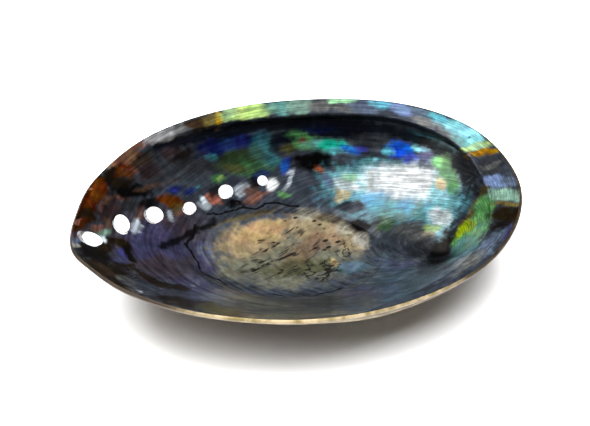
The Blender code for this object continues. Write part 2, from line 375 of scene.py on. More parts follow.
    def growth(self, points: Array) -> tuple[Array, Array]:
        """How grown the shell was when each point was its edge.

        Args:
            points: Places on the shell.

        Returns:
            The growth, 0 at the spire and 1 at the rim, and the full reach in that direction.
        """
        gap = points[:, :2] - self.spire
        reach = np.hypot(gap[:, 0], gap[:, 1])
        bearing = np.arctan2(gap[:, 1], gap[:, 0])
        grown = np.ones(len(points))
        full = grown
        for _ in range(self.growth_rounds):
            twist = self.growth_twist * np.log(np.clip(grown, 0.05, 1.0))
            full = self.rim_from(self.spire, bearing - twist)[0]
            grown = reach / full
        return grown, full

    def scar_oval(self, points: Array) -> Array:
        """Measure places on the scar that the muscle left.

        Args:
            points: Places on the shell.

        Returns:
            Distance from the scar's middle, 1 at its outline.
        """
        gap = points[:, :2] - self.scar
        along = gap[:, 0] * math.cos(self.scar_turn) + gap[:, 1] * math.sin(self.scar_turn)
        over = gap[:, 1] * math.cos(self.scar_turn) - gap[:, 0] * math.sin(self.scar_turn)
        return np.hypot(along / self.scar_half[0], over / self.scar_half[1])


@dataclass(frozen=True)
class InnerRelief:
    """Relief of the hollow: groove and funnels of the row, spire's hollow, scar, ripples and folds.

    Groove, funnel and spire are a depth and its spread. The scar's slope and trough are placed as
    shares of its oval, and the folds on the section, between the bearings given in degrees.
    """

    groove: tuple[float, float] = (0.7, 4.5)
    groove_clear: float = 12.0
    groove_fade: float = 20.0
    funnel: tuple[float, float] = (0.9, 4.2)
    healed: int = 3
    healed_share: float = 0.5
    spire: tuple[float, float] = (5.0, 8.5)
    scar_rise: float = 0.7
    scar_slope: float = 0.15
    scar_trough: float = 0.5
    trough_at: float = 1.04
    trough_spread: float = 0.06
    ripple: float = 0.16
    ripple_size: float = 11.0
    folds: tuple[float, ...] = (1.22, 1.33, 1.46)
    fold_height: float = 0.35
    fold_spread: float = 0.03
    fold_bearings: tuple[float, float] = (-75.0, 15.0)
    fold_fade: float = 25.0

    def height(self, form: ShellForm, points: Array, section: Array) -> Array:
        """Height into the hollow at each point.

        Args:
            form: The form that the relief lies on.
            points: Places on the inner surface, in millimetres.
            section: Place on the section, 1 at the hollow's top and 2 at the rim.

        Returns:
            Heights, in millimetres.
        """
        from_spire = distance_to(points, [form.spire])
        fade = smooth((from_spire - self.groove_clear) / self.groove_fade)
        relief = -self.groove[0] * bell(distance_to(points, form.row_curve()), self.groove[1]) * fade
        open_holes = [(hole.x, hole.y) for hole in form.holes]
        relief -= self.funnel[0] * bell(distance_to(points, open_holes), self.funnel[1])
        healed = distance_to(points, form.closed[: self.healed])
        relief -= self.healed_share * self.funnel[0] * bell(healed, self.funnel[1])
        relief -= self.spire[0] * bell(from_spire, self.spire[1])
        oval = form.scar_oval(points)
        relief += self.scar_rise * smooth((1.0 - oval) / self.scar_slope)
        relief -= self.scar_trough * bell(oval - self.trough_at, self.trough_spread)
        relief += self.ripple * clouds(points, self.ripple_size, 1.0, 2)
        relief *= smooth(2 - section)
        gap = points[:, :2] - form.pole
        bearing = np.degrees(np.arctan2(gap[:, 1], gap[:, 0]))
        first, last = self.fold_bearings
        here = smooth((bearing - first) / self.fold_fade) * smooth((last - bearing) / self.fold_fade)
        for fold in self.folds:
            relief += self.fold_height * here * bell(section - fold, self.fold_spread)
        return relief


@dataclass(frozen=True)
class OuterRelief:
    """Relief of the outside: row's ridge and mounds, spire and growth ridges.

    Ridge, mound and spire are a height and its spread.
    """

    ridge: tuple[float, float] = (1.5, 5.0)
    ridge_clear: float = 6.0
    ridge_fade: float = 14.0
    ridge_least: float = 0.4
    mound: tuple[float, float] = (1.3, 4.6)
    healed_first: float = 0.9
    healed_wear: float = 0.1
    spire: tuple[float, float] = (3.6, 9.5)
    spire_pitch: float = 0.34
    suture: float = 0.8
    suture_half: float = 0.35
    suture_starts: float = 3.0
    suture_ends: tuple[float, float] = (9.0, 6.0)
    growth_ridges: int = 15
    growth_height: float = 0.4
    growth_start: float = 3.0
    full_growth_reach: float = 100.0

    def height(self, form: ShellForm, points: Array) -> Array:
        """Height outwards at each point.

        Args:
            form: The form that the relief lies on.
            points: Places on the outer surface, in millimetres.

        Returns:
            Heights, in millimetres.
        """
        fade = smooth((distance_to(points, [form.spire]) - self.ridge_clear) / self.ridge_fade)
        relief = self.ridge[0] * bell(distance_to(points, form.row_curve()), self.ridge[1])
        relief *= self.ridge_least + (1 - self.ridge_least) * fade
        open_holes = [(hole.x, hole.y) for hole in form.holes]
        relief += self.mound[0] * bell(distance_to(points, open_holes), self.mound[1])
        for number, place in enumerate(form.closed):
            height = self.mound[0] * (self.healed_first - self.healed_wear * number)
            relief += height * bell(distance_to(points, [place]), self.mound[1])
        relief += self.spire_height(form, points)
        grown, full = form.growth(points)
        wave = np.sin(2 * math.pi * self.growth_ridges * grown)
        share = np.minimum(full / self.full_growth_reach, 1.0) * smooth(grown * self.growth_start)
        return relief + self.growth_height * wave * share

    def spire_height(self, form: ShellForm, points: Array) -> Array:
        """Height of the spire's coils: a mound with a spiral seam.

        Args:
            form: The form that the spire stands on.
            points: Places on the outer surface, in millimetres.

        Returns:
            Heights, in millimetres.
        """
        gap = points[:, :2] - form.spire
        reach = np.hypot(gap[:, 0], gap[:, 1])
        bearing = np.arctan2(gap[:, 1], gap[:, 0])
        coil = np.log(np.maximum(reach, 0.5)) / self.spire_pitch + bearing
        end, fade = self.suture_ends
        seam = bell(np.sin(coil / 2), self.suture_half) * smooth(reach / self.suture_starts)
        seam *= 1 - smooth((reach - end) / fade)
        return bell(reach, self.spire[1]) * self.spire[0] - self.suture * seam


class Hue(Enum):
    """Colours of the nacre as the eye sees them, in 8-bit sRGB."""

    INK = (5, 4, 4)
    SOOT = (20, 17, 16)
    UMBER = (28, 21, 10)
    BARK = (45, 34, 22)
    RUST = (60, 24, 6)
    AMBER = (100, 50, 12)
    HONEY = (150, 112, 35)
    OLIVE = (62, 62, 36)
    MOSS = (44, 60, 38)
    BRONZE = (98, 86, 50)
    COCOA = (104, 76, 60)
    ROSE = (155, 103, 88)
    MAUVE = (61, 53, 61)
    PLUM = (44, 34, 36)
    IRIS = (62, 62, 92)
    VIOLET = (68, 72, 150)
    NAVY = (22, 30, 66)
    INDIGO = (36, 44, 92)
    ROYAL = (62, 98, 200)
    AZURE = (110, 180, 225)
    LAVENDER = (115, 132, 168)
    STEEL = (92, 104, 124)
    SLATE = (66, 72, 82)
    GRAPHITE = (44, 46, 50)
    NIGHT = (10, 13, 22)
    STONE = (98, 100, 98)
    SILVER = (146, 146, 148)
    PEARL = (205, 216, 226)
    WHITE = (248, 252, 253)
    CYAN = (158, 226, 238)
    AQUA = (118, 196, 214)
    TEAL = (48, 104, 112)
    SEA = (92, 142, 138)
    EMERALD = (58, 178, 150)
    FERN = (70, 120, 74)
    GREEN = (118, 182, 112)
    MINT = (176, 230, 184)
    LEAF = (176, 204, 128)
    LIME = (166, 186, 58)
    SAGE = (134, 168, 150)
    SAND = (148, 132, 104)
    TAN = (172, 146, 110)
    KHAKI = (104, 104, 90)
    BONE = (166, 164, 152)
    CREAM = (250, 232, 184)

    def linear(self) -> Array:
        """The colour as linear light, from 0 to 1."""
        value = np.array(self.value) / 255
        return np.where(value <= 0.04045, value / 12.92, ((value + 0.055) / 1.055) ** 2.4)


@dataclass(frozen=True)
class Brush:
    """How a painted shape ends: how far out, how raggedly, and over what share it fades."""

    start: float
    ragged: float
    fade: float

    def cover(self, distance: Array, roughness: Array) -> Array:
        """Cover of a shape whose outline is at distance 1."""
        return smooth((self.start - distance + self.ragged * roughness) / self.fade)


SPOT_BRUSH = Brush(1.35, 0.3, 0.75)
LINE_BRUSH = Brush(1.4, 0.35, 0.8)


@dataclass(frozen=True)
class Spot:
    """Soft oval, placed in the photograph's pixels: middle, half axes and turn to the lower right."""

    x: float
    y: float
    long: float
    short: float
    turn: float = 0.0

    def weight(self, seen: Array) -> Array:
        """Cover of the oval.

        Args:
            seen: Rows of pixel across, pixel down and roughness.

        Returns:
            1 in the oval and 0 outside, one value for each row.
        """
        turn = math.radians(self.turn)
        across, down = seen[:, 0] - self.x, seen[:, 1] - self.y
        along = across * math.cos(turn) + down * math.sin(turn)
        over = down * math.cos(turn) - across * math.sin(turn)
        return SPOT_BRUSH.cover(np.hypot(along / self.long, over / self.short), seen[:, 2])


@dataclass(frozen=True)
class Line:
    """Soft line, placed in the photograph's pixels, with its half width."""

    points: tuple[tuple[float, float], ...]
    width: float

    def weight(self, seen: Array) -> Array:
        """Cover of the line.

        Args:
            seen: Rows of pixel across, pixel down and roughness.

        Returns:
            1 on the line and 0 away from it, one value for each row.
        """
        nearest = np.full(len(seen), np.inf)
        for start, end in zip(self.points, self.points[1:]):
            way = np.subtract(end, start)
            offset = seen[:, :2] - start
            part = np.clip(offset @ way / (way @ way), 0.0, 1.0)
            nearest = np.minimum(nearest, np.hypot(*(offset - part[:, None] * way).T))
        return LINE_BRUSH.cover(nearest / self.width, seen[:, 2])


# Each region is a list of shape, colour and strength, laid on in this order.
LEFT_END = (
    (Spot(165, 245, 62, 38, 10), Hue.MAUVE, 1),
    (Spot(150, 238, 24, 16, 0), Hue.IRIS, 0.8),
    (Spot(178, 250, 18, 10, 0), Hue.IRIS, 0.8),
    (Spot(140, 252, 14, 9, 10), Hue.IRIS, 0.8),
    (Spot(190, 284, 30, 9, 16), Hue.IRIS, 0.7),
    (Spot(165, 268, 24, 8, 12), Hue.MAUVE, 0.9),
    (Spot(112, 276, 44, 14, 30), Hue.UMBER, 1),
    (Spot(102, 268, 14, 5, 32), Hue.BARK, 0.8),
    (Spot(142, 287, 22, 5, 20), Hue.SLATE, 0.9),
    (Spot(128, 281, 10, 3, 25), Hue.STONE, 0.7),
    (Spot(196, 306, 46, 6, 13), Hue.UMBER, 1),
    (Spot(215, 309, 22, 4, 8), Hue.OLIVE, 0.8),
    (Line(((118, 263), (132, 268), (150, 279), (168, 287), (190, 291)), 2.6), Hue.UMBER, 1),
    (Spot(123, 255, 11, 8, 20), Hue.IRIS, 1),
    (Spot(124, 252, 6, 5, 20), Hue.VIOLET, 0.4),
    (Spot(90, 251, 21, 8, 18), Hue.SOOT, 1),
    (Spot(104, 249, 9, 8, 0), Hue.UMBER, 1),
    (Spot(97, 257, 16, 6, 22), Hue.INK, 0.8),
    (Line(((109, 240), (120, 242), (129, 252), (136, 262)), 3.6), Hue.UMBER, 1),
    (Line(((126, 248), (134, 260)), 3), Hue.INK, 0.9),
    (Spot(76, 238, 8, 9, 0), Hue.STEEL, 0.8),
    (Spot(75, 245, 7, 3, 15), Hue.BONE, 0.7),
    (Spot(88, 204, 34, 11, -61), Hue.RUST, 1),
    (Spot(99, 189, 16, 6, -60), Hue.AMBER, 1),
    (Spot(84, 219, 10, 8, -60), Hue.UMBER, 1),
    (Spot(80, 226, 10, 5, -20), Hue.RUST, 0.7),
    (Spot(79, 222, 3, 2.4, 0), Hue.ROSE, 0.9),
    (Spot(91, 190, 2, 1.5, 0), Hue.ROSE, 0.8),
    (Spot(112, 211, 11, 17, 20), Hue.PLUM, 1),
    (Spot(108, 222, 5, 6, 0), Hue.COCOA, 0.5),
    (Line(((102, 208), (106, 199), (115, 195), (126, 200)), 2.4), Hue.COCOA, 0.7),
    (Spot(116, 183, 13, 13, -30), Hue.SOOT, 1),
    (Spot(136, 190, 24, 9, -8), Hue.INK, 1),
    (Spot(122, 178, 12, 8, -30), Hue.UMBER, 0.7),
    (Spot(122, 161, 16, 8, -32), Hue.RUST, 1),
    (Spot(112, 163, 7, 3.4, -35), Hue.ROSE, 0.9),
    (Spot(108, 166, 4, 2.5, -35), Hue.KHAKI, 0.8),
    (Spot(110, 172, 9, 3.6, -30), Hue.UMBER, 0.9),
    (Spot(128, 169, 12, 7, -20), Hue.AMBER, 0.6),
    (Spot(141, 160, 13, 8, -10), Hue.BARK, 0.9),
    (Spot(151, 172, 15, 10, -15), Hue.PLUM, 1),
    (Spot(160, 179, 24, 4, -20), Hue.GRAPHITE, 0.8),
    (Spot(152, 186, 20, 3, -14), Hue.COCOA, 0.35),
    (Spot(164, 150, 14, 8, -20), Hue.GRAPHITE, 1),
    (Spot(98, 228, 6, 5, 0), Hue.ROSE, 0.6),
    # Painted highlight: pale green beside the first hole.
    (Spot(104, 232, 7, 4, -30), Hue.SAGE, 0.7),
)
ROW = (
    (Spot(175, 190, 6, 4.5, -10), Hue.INDIGO, 1),
    (Spot(175, 191, 2.6, 2, 0), Hue.VIOLET, 0.8),
    (Spot(191, 191, 8, 4, -20), Hue.INDIGO, 0.9),
    (Spot(197, 188, 4.5, 1.6, -40), Hue.TEAL, 1),
    (Spot(150, 203, 14, 5, -14), Hue.INK, 0.9),
    (Spot(172, 202, 13, 6, 12), Hue.AMBER, 1),
    (Spot(178, 207, 6, 5, 0), Hue.BRONZE, 0.6),
    (Spot(129, 206, 8, 6, 0), Hue.GRAPHITE, 0.9),
    (Spot(141, 214, 6, 6, 30), Hue.COCOA, 0.6),
    # Painted glints: the pale spots on the right wall of the first four open holes stand in for light
    # caught there.
    (Spot(137, 226, 3.4, 7, 12), Hue.PEARL, 0.8),
    (Spot(105, 238, 3.6, 4.5, -20), Hue.PEARL, 0.9),
    (Spot(170.5, 214, 3, 5.5, -10), Hue.PEARL, 0.9),
    (Spot(205, 204, 5.5, 6.5, -40), Hue.PEARL, 1),
    (Spot(215, 199, 8, 6, 25), Hue.ROSE, 1),
    (Spot(183, 212, 8, 4, -10), Hue.COCOA, 0.8),
    (Spot(216, 191, 4, 5, 0), Hue.SOOT, 0.8),
    # Painted glint on the right wall of the fifth hole.
    (Spot(241, 190, 5.5, 7, 30), Hue.PEARL, 0.75),
    (Spot(251, 190, 9, 6, -12), Hue.COCOA, 0.7),
    (Spot(235, 204, 10, 4, 8), Hue.INK, 1),
    (Spot(256, 198, 14, 4, -20), Hue.ROSE, 0.7),
    (Spot(218, 178, 8, 4.4, 10), Hue.FERN, 0.9),
    (Spot(219, 177, 4, 2, -20), Hue.LEAF, 0.6),
    (Spot(254, 180, 6, 8, 0), Hue.SOOT, 0.9),
    (Spot(260, 174, 8, 5, 0), Hue.INDIGO, 0.8),
    (Spot(284, 166, 5.5, 9, 30), Hue.ROYAL, 0.7),
    # Painted glint on the right wall of the sixth hole.
    (Spot(274, 184, 4, 7, 0), Hue.WHITE, 0.9),
    (Spot(290, 180, 3.4, 10, 25), Hue.PEARL, 0.7),
    (Spot(288, 173, 6, 2, -20), Hue.PEARL, 0.6),
    (Spot(285, 194, 6, 4, 0), Hue.GREEN, 0.5),
)
BACK_WALL = (
    (Spot(200, 158, 42, 16, -12), Hue.GRAPHITE, 1),
    (Spot(185, 158, 10, 12, 20), Hue.SOOT, 1),
    (Spot(170, 152, 12, 8, -20), Hue.PLUM, 0.8),
    (Spot(218, 147, 22, 11, -8), Hue.NAVY, 1),
    (Spot(240, 142, 20, 9, -8), Hue.NAVY, 1),
    (Spot(234, 146, 15, 6, -5), Hue.INDIGO, 1),
    (Spot(211, 157, 5, 3.4, -10), Hue.TEAL, 1),
    (Spot(196, 166, 20, 9, -10), Hue.GRAPHITE, 0.8),
    (Spot(240, 161, 24, 11, -8), Hue.MOSS, 1),
    (Spot(252, 168, 20, 8, -8), Hue.FERN, 0.45),
    (Spot(234, 168, 12, 5, 0), Hue.OLIVE, 0.8),
    (Spot(263, 147, 11, 15, 12), Hue.TEAL, 0.6),
    (Spot(256, 154, 9, 9, 0), Hue.MOSS, 0.6),
    (Spot(272, 161, 8, 6, 0), Hue.TEAL, 0.6),
    (Spot(283, 138, 18, 8, -10), Hue.NIGHT, 1),
    (Spot(276, 150, 6, 4, 0), Hue.NIGHT, 0.7),
    (Spot(306, 133, 18, 7, -4), Hue.FERN, 0.8),
    (Spot(311, 142, 18, 8, 0), Hue.GREEN, 0.6),
    (Spot(288, 149, 10, 5, -5), Hue.OLIVE, 1),
    (Spot(299, 140, 8, 6.5, 0), Hue.FERN, 0.8),
    (Spot(300, 140, 4.4, 3.6, 0), Hue.COCOA, 1),
    (Spot(327, 146, 22, 8, 6), Hue.SEA, 1),
    (Spot(333, 146, 15, 6, 6), Hue.EMERALD, 1),
    (Spot(350, 151, 10, 4.4, 16), Hue.ROYAL, 0.7),
    (Spot(338, 152, 9, 3, 5), Hue.AQUA, 0.8),
    (Spot(361, 149, 8, 3.6, 10), Hue.VIOLET, 1),
    # Painted shadow: near-black and navy under the overhanging lip of the shelf.
    (Spot(340, 131, 42, 8, 3), Hue.NIGHT, 1),
    (Spot(318, 128, 20, 4, -2), Hue.NAVY, 0.6),
    (Spot(375, 141, 22, 9, 5), Hue.GRAPHITE, 0.7),
    (Spot(313, 161, 22, 11, 5), Hue.INK, 1),
    (Spot(345, 158, 12, 5, 10), Hue.SLATE, 1),
    (Spot(343, 166, 14, 7, 10), Hue.GRAPHITE, 1),
    (Spot(368, 162, 9, 9, 0), Hue.GRAPHITE, 1),
    # Painted glint: small orange and rose fleck on the dark back wall.
    (Spot(320, 169, 6, 2.6, 35), Hue.AMBER, 1),
    (Spot(320, 167, 2.4, 1.4, 35), Hue.ROSE, 1),
    (Spot(385, 148, 12, 6, 0), Hue.SLATE, 0.8),
    (Spot(401, 150, 14, 8, 15), Hue.ROYAL, 1),
    (Spot(388, 151, 5, 4, 0), Hue.AQUA, 0.9),
    (Spot(408, 158, 7, 5, 20), Hue.VIOLET, 0.9),
    (Spot(430, 142, 24, 8, 22), Hue.TEAL, 0.6),
    (Spot(421, 149, 9, 2.6, 15), Hue.CYAN, 0.8),
    (Spot(427, 158, 9, 7, 20), Hue.IRIS, 1),
    (Spot(441, 164, 7, 10, -40), Hue.GREEN, 0.9),
    (Spot(386, 165, 24, 5, 5), Hue.SEA, 0.6),
    (Spot(378, 160, 4, 2, 0), Hue.CYAN, 1),
    (Spot(452, 152, 10, 5, 50), Hue.TEAL, 0.5),
    (Spot(466, 160, 12, 6, 62), Hue.GRAPHITE, 1),
    # Painted shadow: near-black band under the shelf's lip along the back, running on round the right
    # end.
    (
        Line(((158, 147), (180, 140), (210, 135), (260, 127), (328, 122), (385, 128), (430, 144)), 5),
        Hue.NIGHT,
        0.9,
    ),
    (Line(((425, 142), (450, 156), (466, 172), (474, 190)), 6), Hue.SOOT, 0.9),
)
# Nacre and painted highlight: the soft box's broad reflection on the right of the hollow is painted in
# as aqua, cyan, cream and white, over the nacre's own greens and greys.
NACRE_AND_PAINTED_HIGHLIGHT = (
    (Spot(392, 192, 66, 28, 6), Hue.AQUA, 1),
    (Spot(350, 182, 24, 14, 0), Hue.CYAN, 1),
    (Spot(345, 184, 14, 8, 0), Hue.WHITE, 0.7),
    (Spot(404, 184, 48, 18, 3), Hue.WHITE, 0.8),
    (Spot(412, 180, 32, 14, 3), Hue.WHITE, 1),
    (Spot(441, 204, 15, 30, 8), Hue.CYAN, 1),
    (Spot(450, 178, 7, 18, -12), Hue.GREEN, 0.9),
    (Spot(442, 184, 5, 8, -8), Hue.CREAM, 1),
    (Spot(440, 217, 11, 9, 0), Hue.WHITE, 0.8),
    (Spot(375, 200, 15, 8, 0), Hue.AZURE, 0.8),
    (Spot(405, 207, 8, 9, 0), Hue.AZURE, 0.8),
    (Spot(390, 201, 7, 6, 0), Hue.SEA, 0.6),
    (Spot(342, 196, 10, 5, -20), Hue.CREAM, 0.8),
    (Spot(352, 177, 7, 4, 0), Hue.MINT, 0.8),
    (Spot(372, 180, 4, 8, 10), Hue.BONE, 0.6),
    (Spot(335, 192, 5, 4, 30), Hue.HONEY, 0.6),
    (Spot(328, 180, 5, 9, -30), Hue.LAVENDER, 0.8),
    (Spot(351, 207, 14, 5, 5), Hue.SLATE, 1),
    (Spot(392, 216, 14, 8, 10), Hue.SEA, 0.9),
    (Spot(384, 226, 12, 9, 0), Hue.OLIVE, 0.7),
    (Spot(386, 226, 10, 7, 0), Hue.FERN, 0.5),
    (Spot(419, 211, 5, 10, 10), Hue.SEA, 0.8),
    (Spot(430, 229, 9, 5, 0), Hue.LEAF, 0.9),
    (Spot(428, 235, 7, 4, 0), Hue.SAND, 0.8),
    (Spot(410, 233, 14, 12, 0), Hue.STONE, 0.9),
    (Spot(418, 248, 16, 10, -30), Hue.GRAPHITE, 0.9),
    (Spot(395, 243, 16, 12, 0), Hue.SLATE, 0.8),
)
RIGHT_END = (
    # Painted shade: dark grey band on the steep right wall under the shelf.
    (Line(((458, 165), (464, 182), (463, 200), (456, 218), (446, 234)), 9), Hue.GRAPHITE, 1),
    (Spot(459, 211, 7, 14, 20), Hue.SLATE, 0.6),
    (Line(((484, 188), (480, 200), (474, 214), (463, 226)), 4), Hue.BRONZE, 1),
    (Line(((487, 200), (482, 218), (473, 234), (461, 245)), 8), Hue.GREEN, 1),
    (Spot(464, 230, 11, 5, -45), Hue.LIME, 1),
    (Spot(461, 232, 6, 3, -45), Hue.LIME, 1),
    (Spot(462, 249, 18, 6, -38), Hue.SEA, 0.9),
    (Spot(464, 257, 20, 6, -36), Hue.TEAL, 0.7),
    (Spot(458, 264, 18, 5, -30), Hue.NAVY, 0.8),
    # Painted shade: black in the spire's hollow, with brown at its edge.
    (Spot(437, 254, 17, 14, -50), Hue.INK, 1),
    (Spot(447, 243, 7, 10, 30), Hue.UMBER, 0.9),
    (Spot(446, 270, 12, 4, -22), Hue.PLUM, 0.8),
    (Spot(400, 268, 26, 9, -8), Hue.SLATE, 0.8),
    (Spot(398, 266, 16, 6, -8), Hue.IRIS, 0.7),
    (Spot(378, 262, 12, 7, 0), Hue.STEEL, 0.6),
    (Spot(424, 268, 9, 7, -20), Hue.GRAPHITE, 0.9),
)
FRONT = (
    (Spot(310, 304, 110, 12, -4), Hue.SLATE, 1),
    (Spot(220, 297, 20, 8, 8), Hue.STEEL, 0.8),
    (Spot(212, 295, 9, 4, 10), Hue.LAVENDER, 0.5),
    (Spot(248, 299, 16, 4, 3), Hue.KHAKI, 0.6),
    (Spot(270, 305, 26, 3, -2), Hue.STONE, 0.5),
    (Spot(318, 303, 26, 4, -2), Hue.GRAPHITE, 0.7),
    (Spot(366, 292, 24, 5, -6), Hue.IRIS, 0.9),
    (Spot(394, 288, 16, 4, -8), Hue.STEEL, 0.9),
    (Spot(400, 296, 24, 4, -10), Hue.STEEL, 0.6),
    (Spot(300, 316, 60, 3, -2), Hue.STONE, 0.9),
    (Spot(245, 286, 30, 4, 6), Hue.GRAPHITE, 0.6),
    (Spot(425, 287, 22, 4, -16), Hue.SLATE, 0.9),
)
SCAR = (
    (Spot(278, 255, 88, 38, 3), Hue.SLATE, 0.9),
    (Line(((162, 246), (178, 241), (198, 229), (214, 222)), 4), Hue.INK, 0.9),
    (Spot(206, 256, 13, 18, 0), Hue.IRIS, 1),
    (Spot(208, 252, 7, 9, 0), Hue.LAVENDER, 0.35),
    (Spot(285, 255, 74, 30, 0), Hue.KHAKI, 1),
    (Spot(252, 240, 34, 16, -14), Hue.SAND, 1),
    (Spot(263, 231, 26, 9, -16), Hue.TAN, 1),
    (Spot(312, 226, 28, 14, 12), Hue.SAND, 0.8),
    (Spot(345, 236, 22, 14, 20), Hue.SAND, 0.8),
    (Spot(306, 248, 26, 12, -30), Hue.COCOA, 0.6),
    (Spot(300, 268, 40, 9, -6), Hue.OLIVE, 0.7),
    (Spot(288, 282, 24, 6, 0), Hue.KHAKI, 0.8),
    (Spot(362, 240, 9, 8, 30), Hue.BONE, 1),
    (Spot(346, 229, 10, 6, 0), Hue.BONE, 0.6),
    (Spot(333, 262, 4, 5, 0), Hue.TAN, 0.9),
    (Spot(352, 267, 16, 6, -8), Hue.TEAL, 0.5),
    (Spot(352, 266, 12, 5, -8), Hue.STEEL, 0.6),
    (Spot(232, 272, 16, 6, 10), Hue.KHAKI, 0.9),
    (Spot(306, 213, 12, 6, -12), Hue.BONE, 0.6),
    (Spot(361, 225, 10, 5, 25), Hue.SOOT, 1),
    (Spot(245, 217, 34, 3, -16), Hue.BRONZE, 0.6),
)
SHELF = (
    (Spot(128, 154, 18, 7, -32), Hue.COCOA, 1),
    (Spot(146, 142, 10, 5, -28), Hue.ROSE, 0.3),
    (Spot(162, 136, 16, 6, -24), Hue.SILVER, 1),
    (Spot(181, 128, 10, 6, -18), Hue.STONE, 0.9),
    (Spot(197, 124, 13, 7, -13), Hue.BARK, 1),
    (Spot(210, 122, 8, 7, -12), Hue.BRONZE, 0.9),
    (Spot(217, 119, 4, 8, -20), Hue.HONEY, 1),
    (Spot(246, 112, 28, 8, -8), Hue.LEAF, 1),
    (Spot(228, 113, 8, 5, -8), Hue.SAGE, 0.5),
    (Spot(280, 107, 14, 8, -4), Hue.SEA, 0.8),
    (Spot(300, 105, 14, 8, -3), Hue.SAGE, 0.6),
    (Spot(320, 107, 14, 6, 0), Hue.STONE, 0.9),
    (Spot(342, 101, 15, 3.4, -4), Hue.MINT, 1),
    (Spot(344, 109, 16, 4, 2), Hue.STONE, 0.8),
    (Spot(364, 106, 16, 7, 5), Hue.STEEL, 0.9),
    (Spot(382, 105, 12, 3.4, 8), Hue.AQUA, 0.7),
    (Spot(402, 110, 14, 7, 12), Hue.LAVENDER, 0.9),
    (Spot(420, 113, 10, 5, 16), Hue.STEEL, 1),
    (Spot(424, 122, 12, 4, 22), Hue.STONE, 0.9),
    # Aqua and cyan on the right of the shelf: partly the nacre's own colour, partly painted reflection
    # of the soft box.
    (Spot(442, 121, 16, 6, 28), Hue.AQUA, 0.7),
    (Spot(447, 130, 14, 4, 32), Hue.STONE, 0.7),
    (Spot(468, 136, 22, 8, 38), Hue.CYAN, 0.9),
    (Spot(462, 141, 12, 4, 40), Hue.SEA, 0.6),
    (Spot(477, 147, 16, 3.4, -16), Hue.LEAF, 0.7),
    (Spot(484, 152, 15, 3.4, -16), Hue.HONEY, 1),
    (Spot(492, 164, 16, 10, -8), Hue.GRAPHITE, 1),
    (Spot(493, 165, 10, 3, -15), Hue.STONE, 0.6),
    (Spot(494, 181, 11, 7, 5), Hue.LAVENDER, 1),
    (Spot(511, 182, 9, 4, 5), Hue.STEEL, 0.9),
    (Spot(505, 194, 17, 7, 2), Hue.SAGE, 1),
    (Spot(507, 204, 17, 3, 0), Hue.BRONZE, 1),
    (Spot(506, 216, 17, 9, 0), Hue.UMBER, 1),
    (Spot(500, 227, 12, 6, -20), Hue.SOOT, 1),
    (Spot(507, 233, 9, 4, -48), Hue.IRIS, 1),
    (Spot(488, 245, 20, 6, -46), Hue.STEEL, 0.9),
    (Spot(466, 263, 22, 6, -38), Hue.STONE, 0.9),
    (Spot(440, 277, 24, 5, -24), Hue.SLATE, 0.9),
    (Spot(467, 137, 1.8, 1.4, 0), Hue.NIGHT, 0.9),
)
REGIONS = (
    (0.8, FRONT),
    (1.2, LEFT_END),
    (1.6, BACK_WALL),
    (0.9, RIGHT_END),
    (0.7, NACRE_AND_PAINTED_HIGHLIGHT),
    (1.2, ROW),
    (1.0, SCAR),
    (1.4, SHELF),
)
DITCHED = (
    Line(((215, 224), (195, 238), (187, 255), (195, 270), (215, 280)), 12),
    Line(((280, 298), (330, 296), (385, 284)), 6),
    Line(((205, 230), (230, 214), (262, 208), (300, 200)), 6),
)
PITTED = (Spot(312, 224, 30, 15, 12), Spot(330, 240, 26, 12, 0))
WRINKLED = (Spot(285, 254, 46, 24, -20), Spot(318, 268, 24, 14, 0))
SQUIGGLED = (Spot(322, 272, 20, 12, -15), Spot(345, 250, 8, 10, -40))


@dataclass(frozen=True)
class Painter:
    """Lays the colours and masks of the shell on its vertices, for the materials to read.

    The outlines are ragged by noise of one size in millimetres, and wander by noise given as sizes in
    millimetres and reaches in pixels.
    """

    body: Hue = Hue.SLATE
    ragged_size: float = 2.6
    ragged_seed: float = 9.0
    wander_seeds: tuple[float, float] = (3.0, 4.0)
    wander: tuple[tuple[float, float], ...] = ((7.0, 5.0), (2.2, 1.8))
    wander_down: float = 0.6
    along: float = 100.0
    around: float = 5.0

    def paint(self, shell: bpy.types.Object, form: ShellForm, studio: "Studio") -> None:
        """Write the attributes tint, flow, marks and oval.

        Args:
            shell: The cut shell.
            form: The form that its sizes come from.
            studio: The studio whose camera sees as the photograph does.
        """
        mesh = shell.data
        points = vertex_places(mesh) / MM
        seen = np.hstack([studio.photo_place(points * MM), np.zeros((len(points), 1))])
        seen[:, 2] = clouds(points, self.ragged_size, self.ragged_seed)
        for number, (size, reach) in enumerate(self.wander):
            across, down = (clouds(points, size, seed + 2 * number, 2) for seed in self.wander_seeds)
            seen[:, 0] += reach * across
            seen[:, 1] += self.wander_down * reach * down
        tint = np.tile(self.body.linear(), (len(points), 1))
        for gain, region in REGIONS:
            for shape, hue, strength in region:
                share = (strength * shape.weight(seen))[:, None]
                tint += (gain * hue.linear() - tint) * share
        ones = np.ones((len(points), 1))
        write_attribute(mesh, "tint", "FLOAT_COLOR", np.hstack([tint, ones]))
        grown, _ = form.growth(points)
        gap = points[:, :2] - form.spire
        bearing = np.arctan2(gap[:, 1], gap[:, 0])
        flow = [grown * self.along, self.around * np.cos(bearing), self.around * np.sin(bearing)]
        write_attribute(mesh, "flow", "FLOAT_VECTOR", np.stack(flow, axis=1))
        masks = [self.cover(shapes, seen) for shapes in (PITTED, WRINKLED, SQUIGGLED, DITCHED)]
        write_attribute(mesh, "marks", "FLOAT_COLOR", np.stack(masks, axis=1))
        write_attribute(mesh, "oval", "FLOAT", form.scar_oval(points))

    def cover(self, shapes: "Sequence[Spot | Line]", seen: Array) -> Array:
        """Cover by any of the shapes at each place."""
        return np.max([shape.weight(seen) for shape in shapes], axis=0)


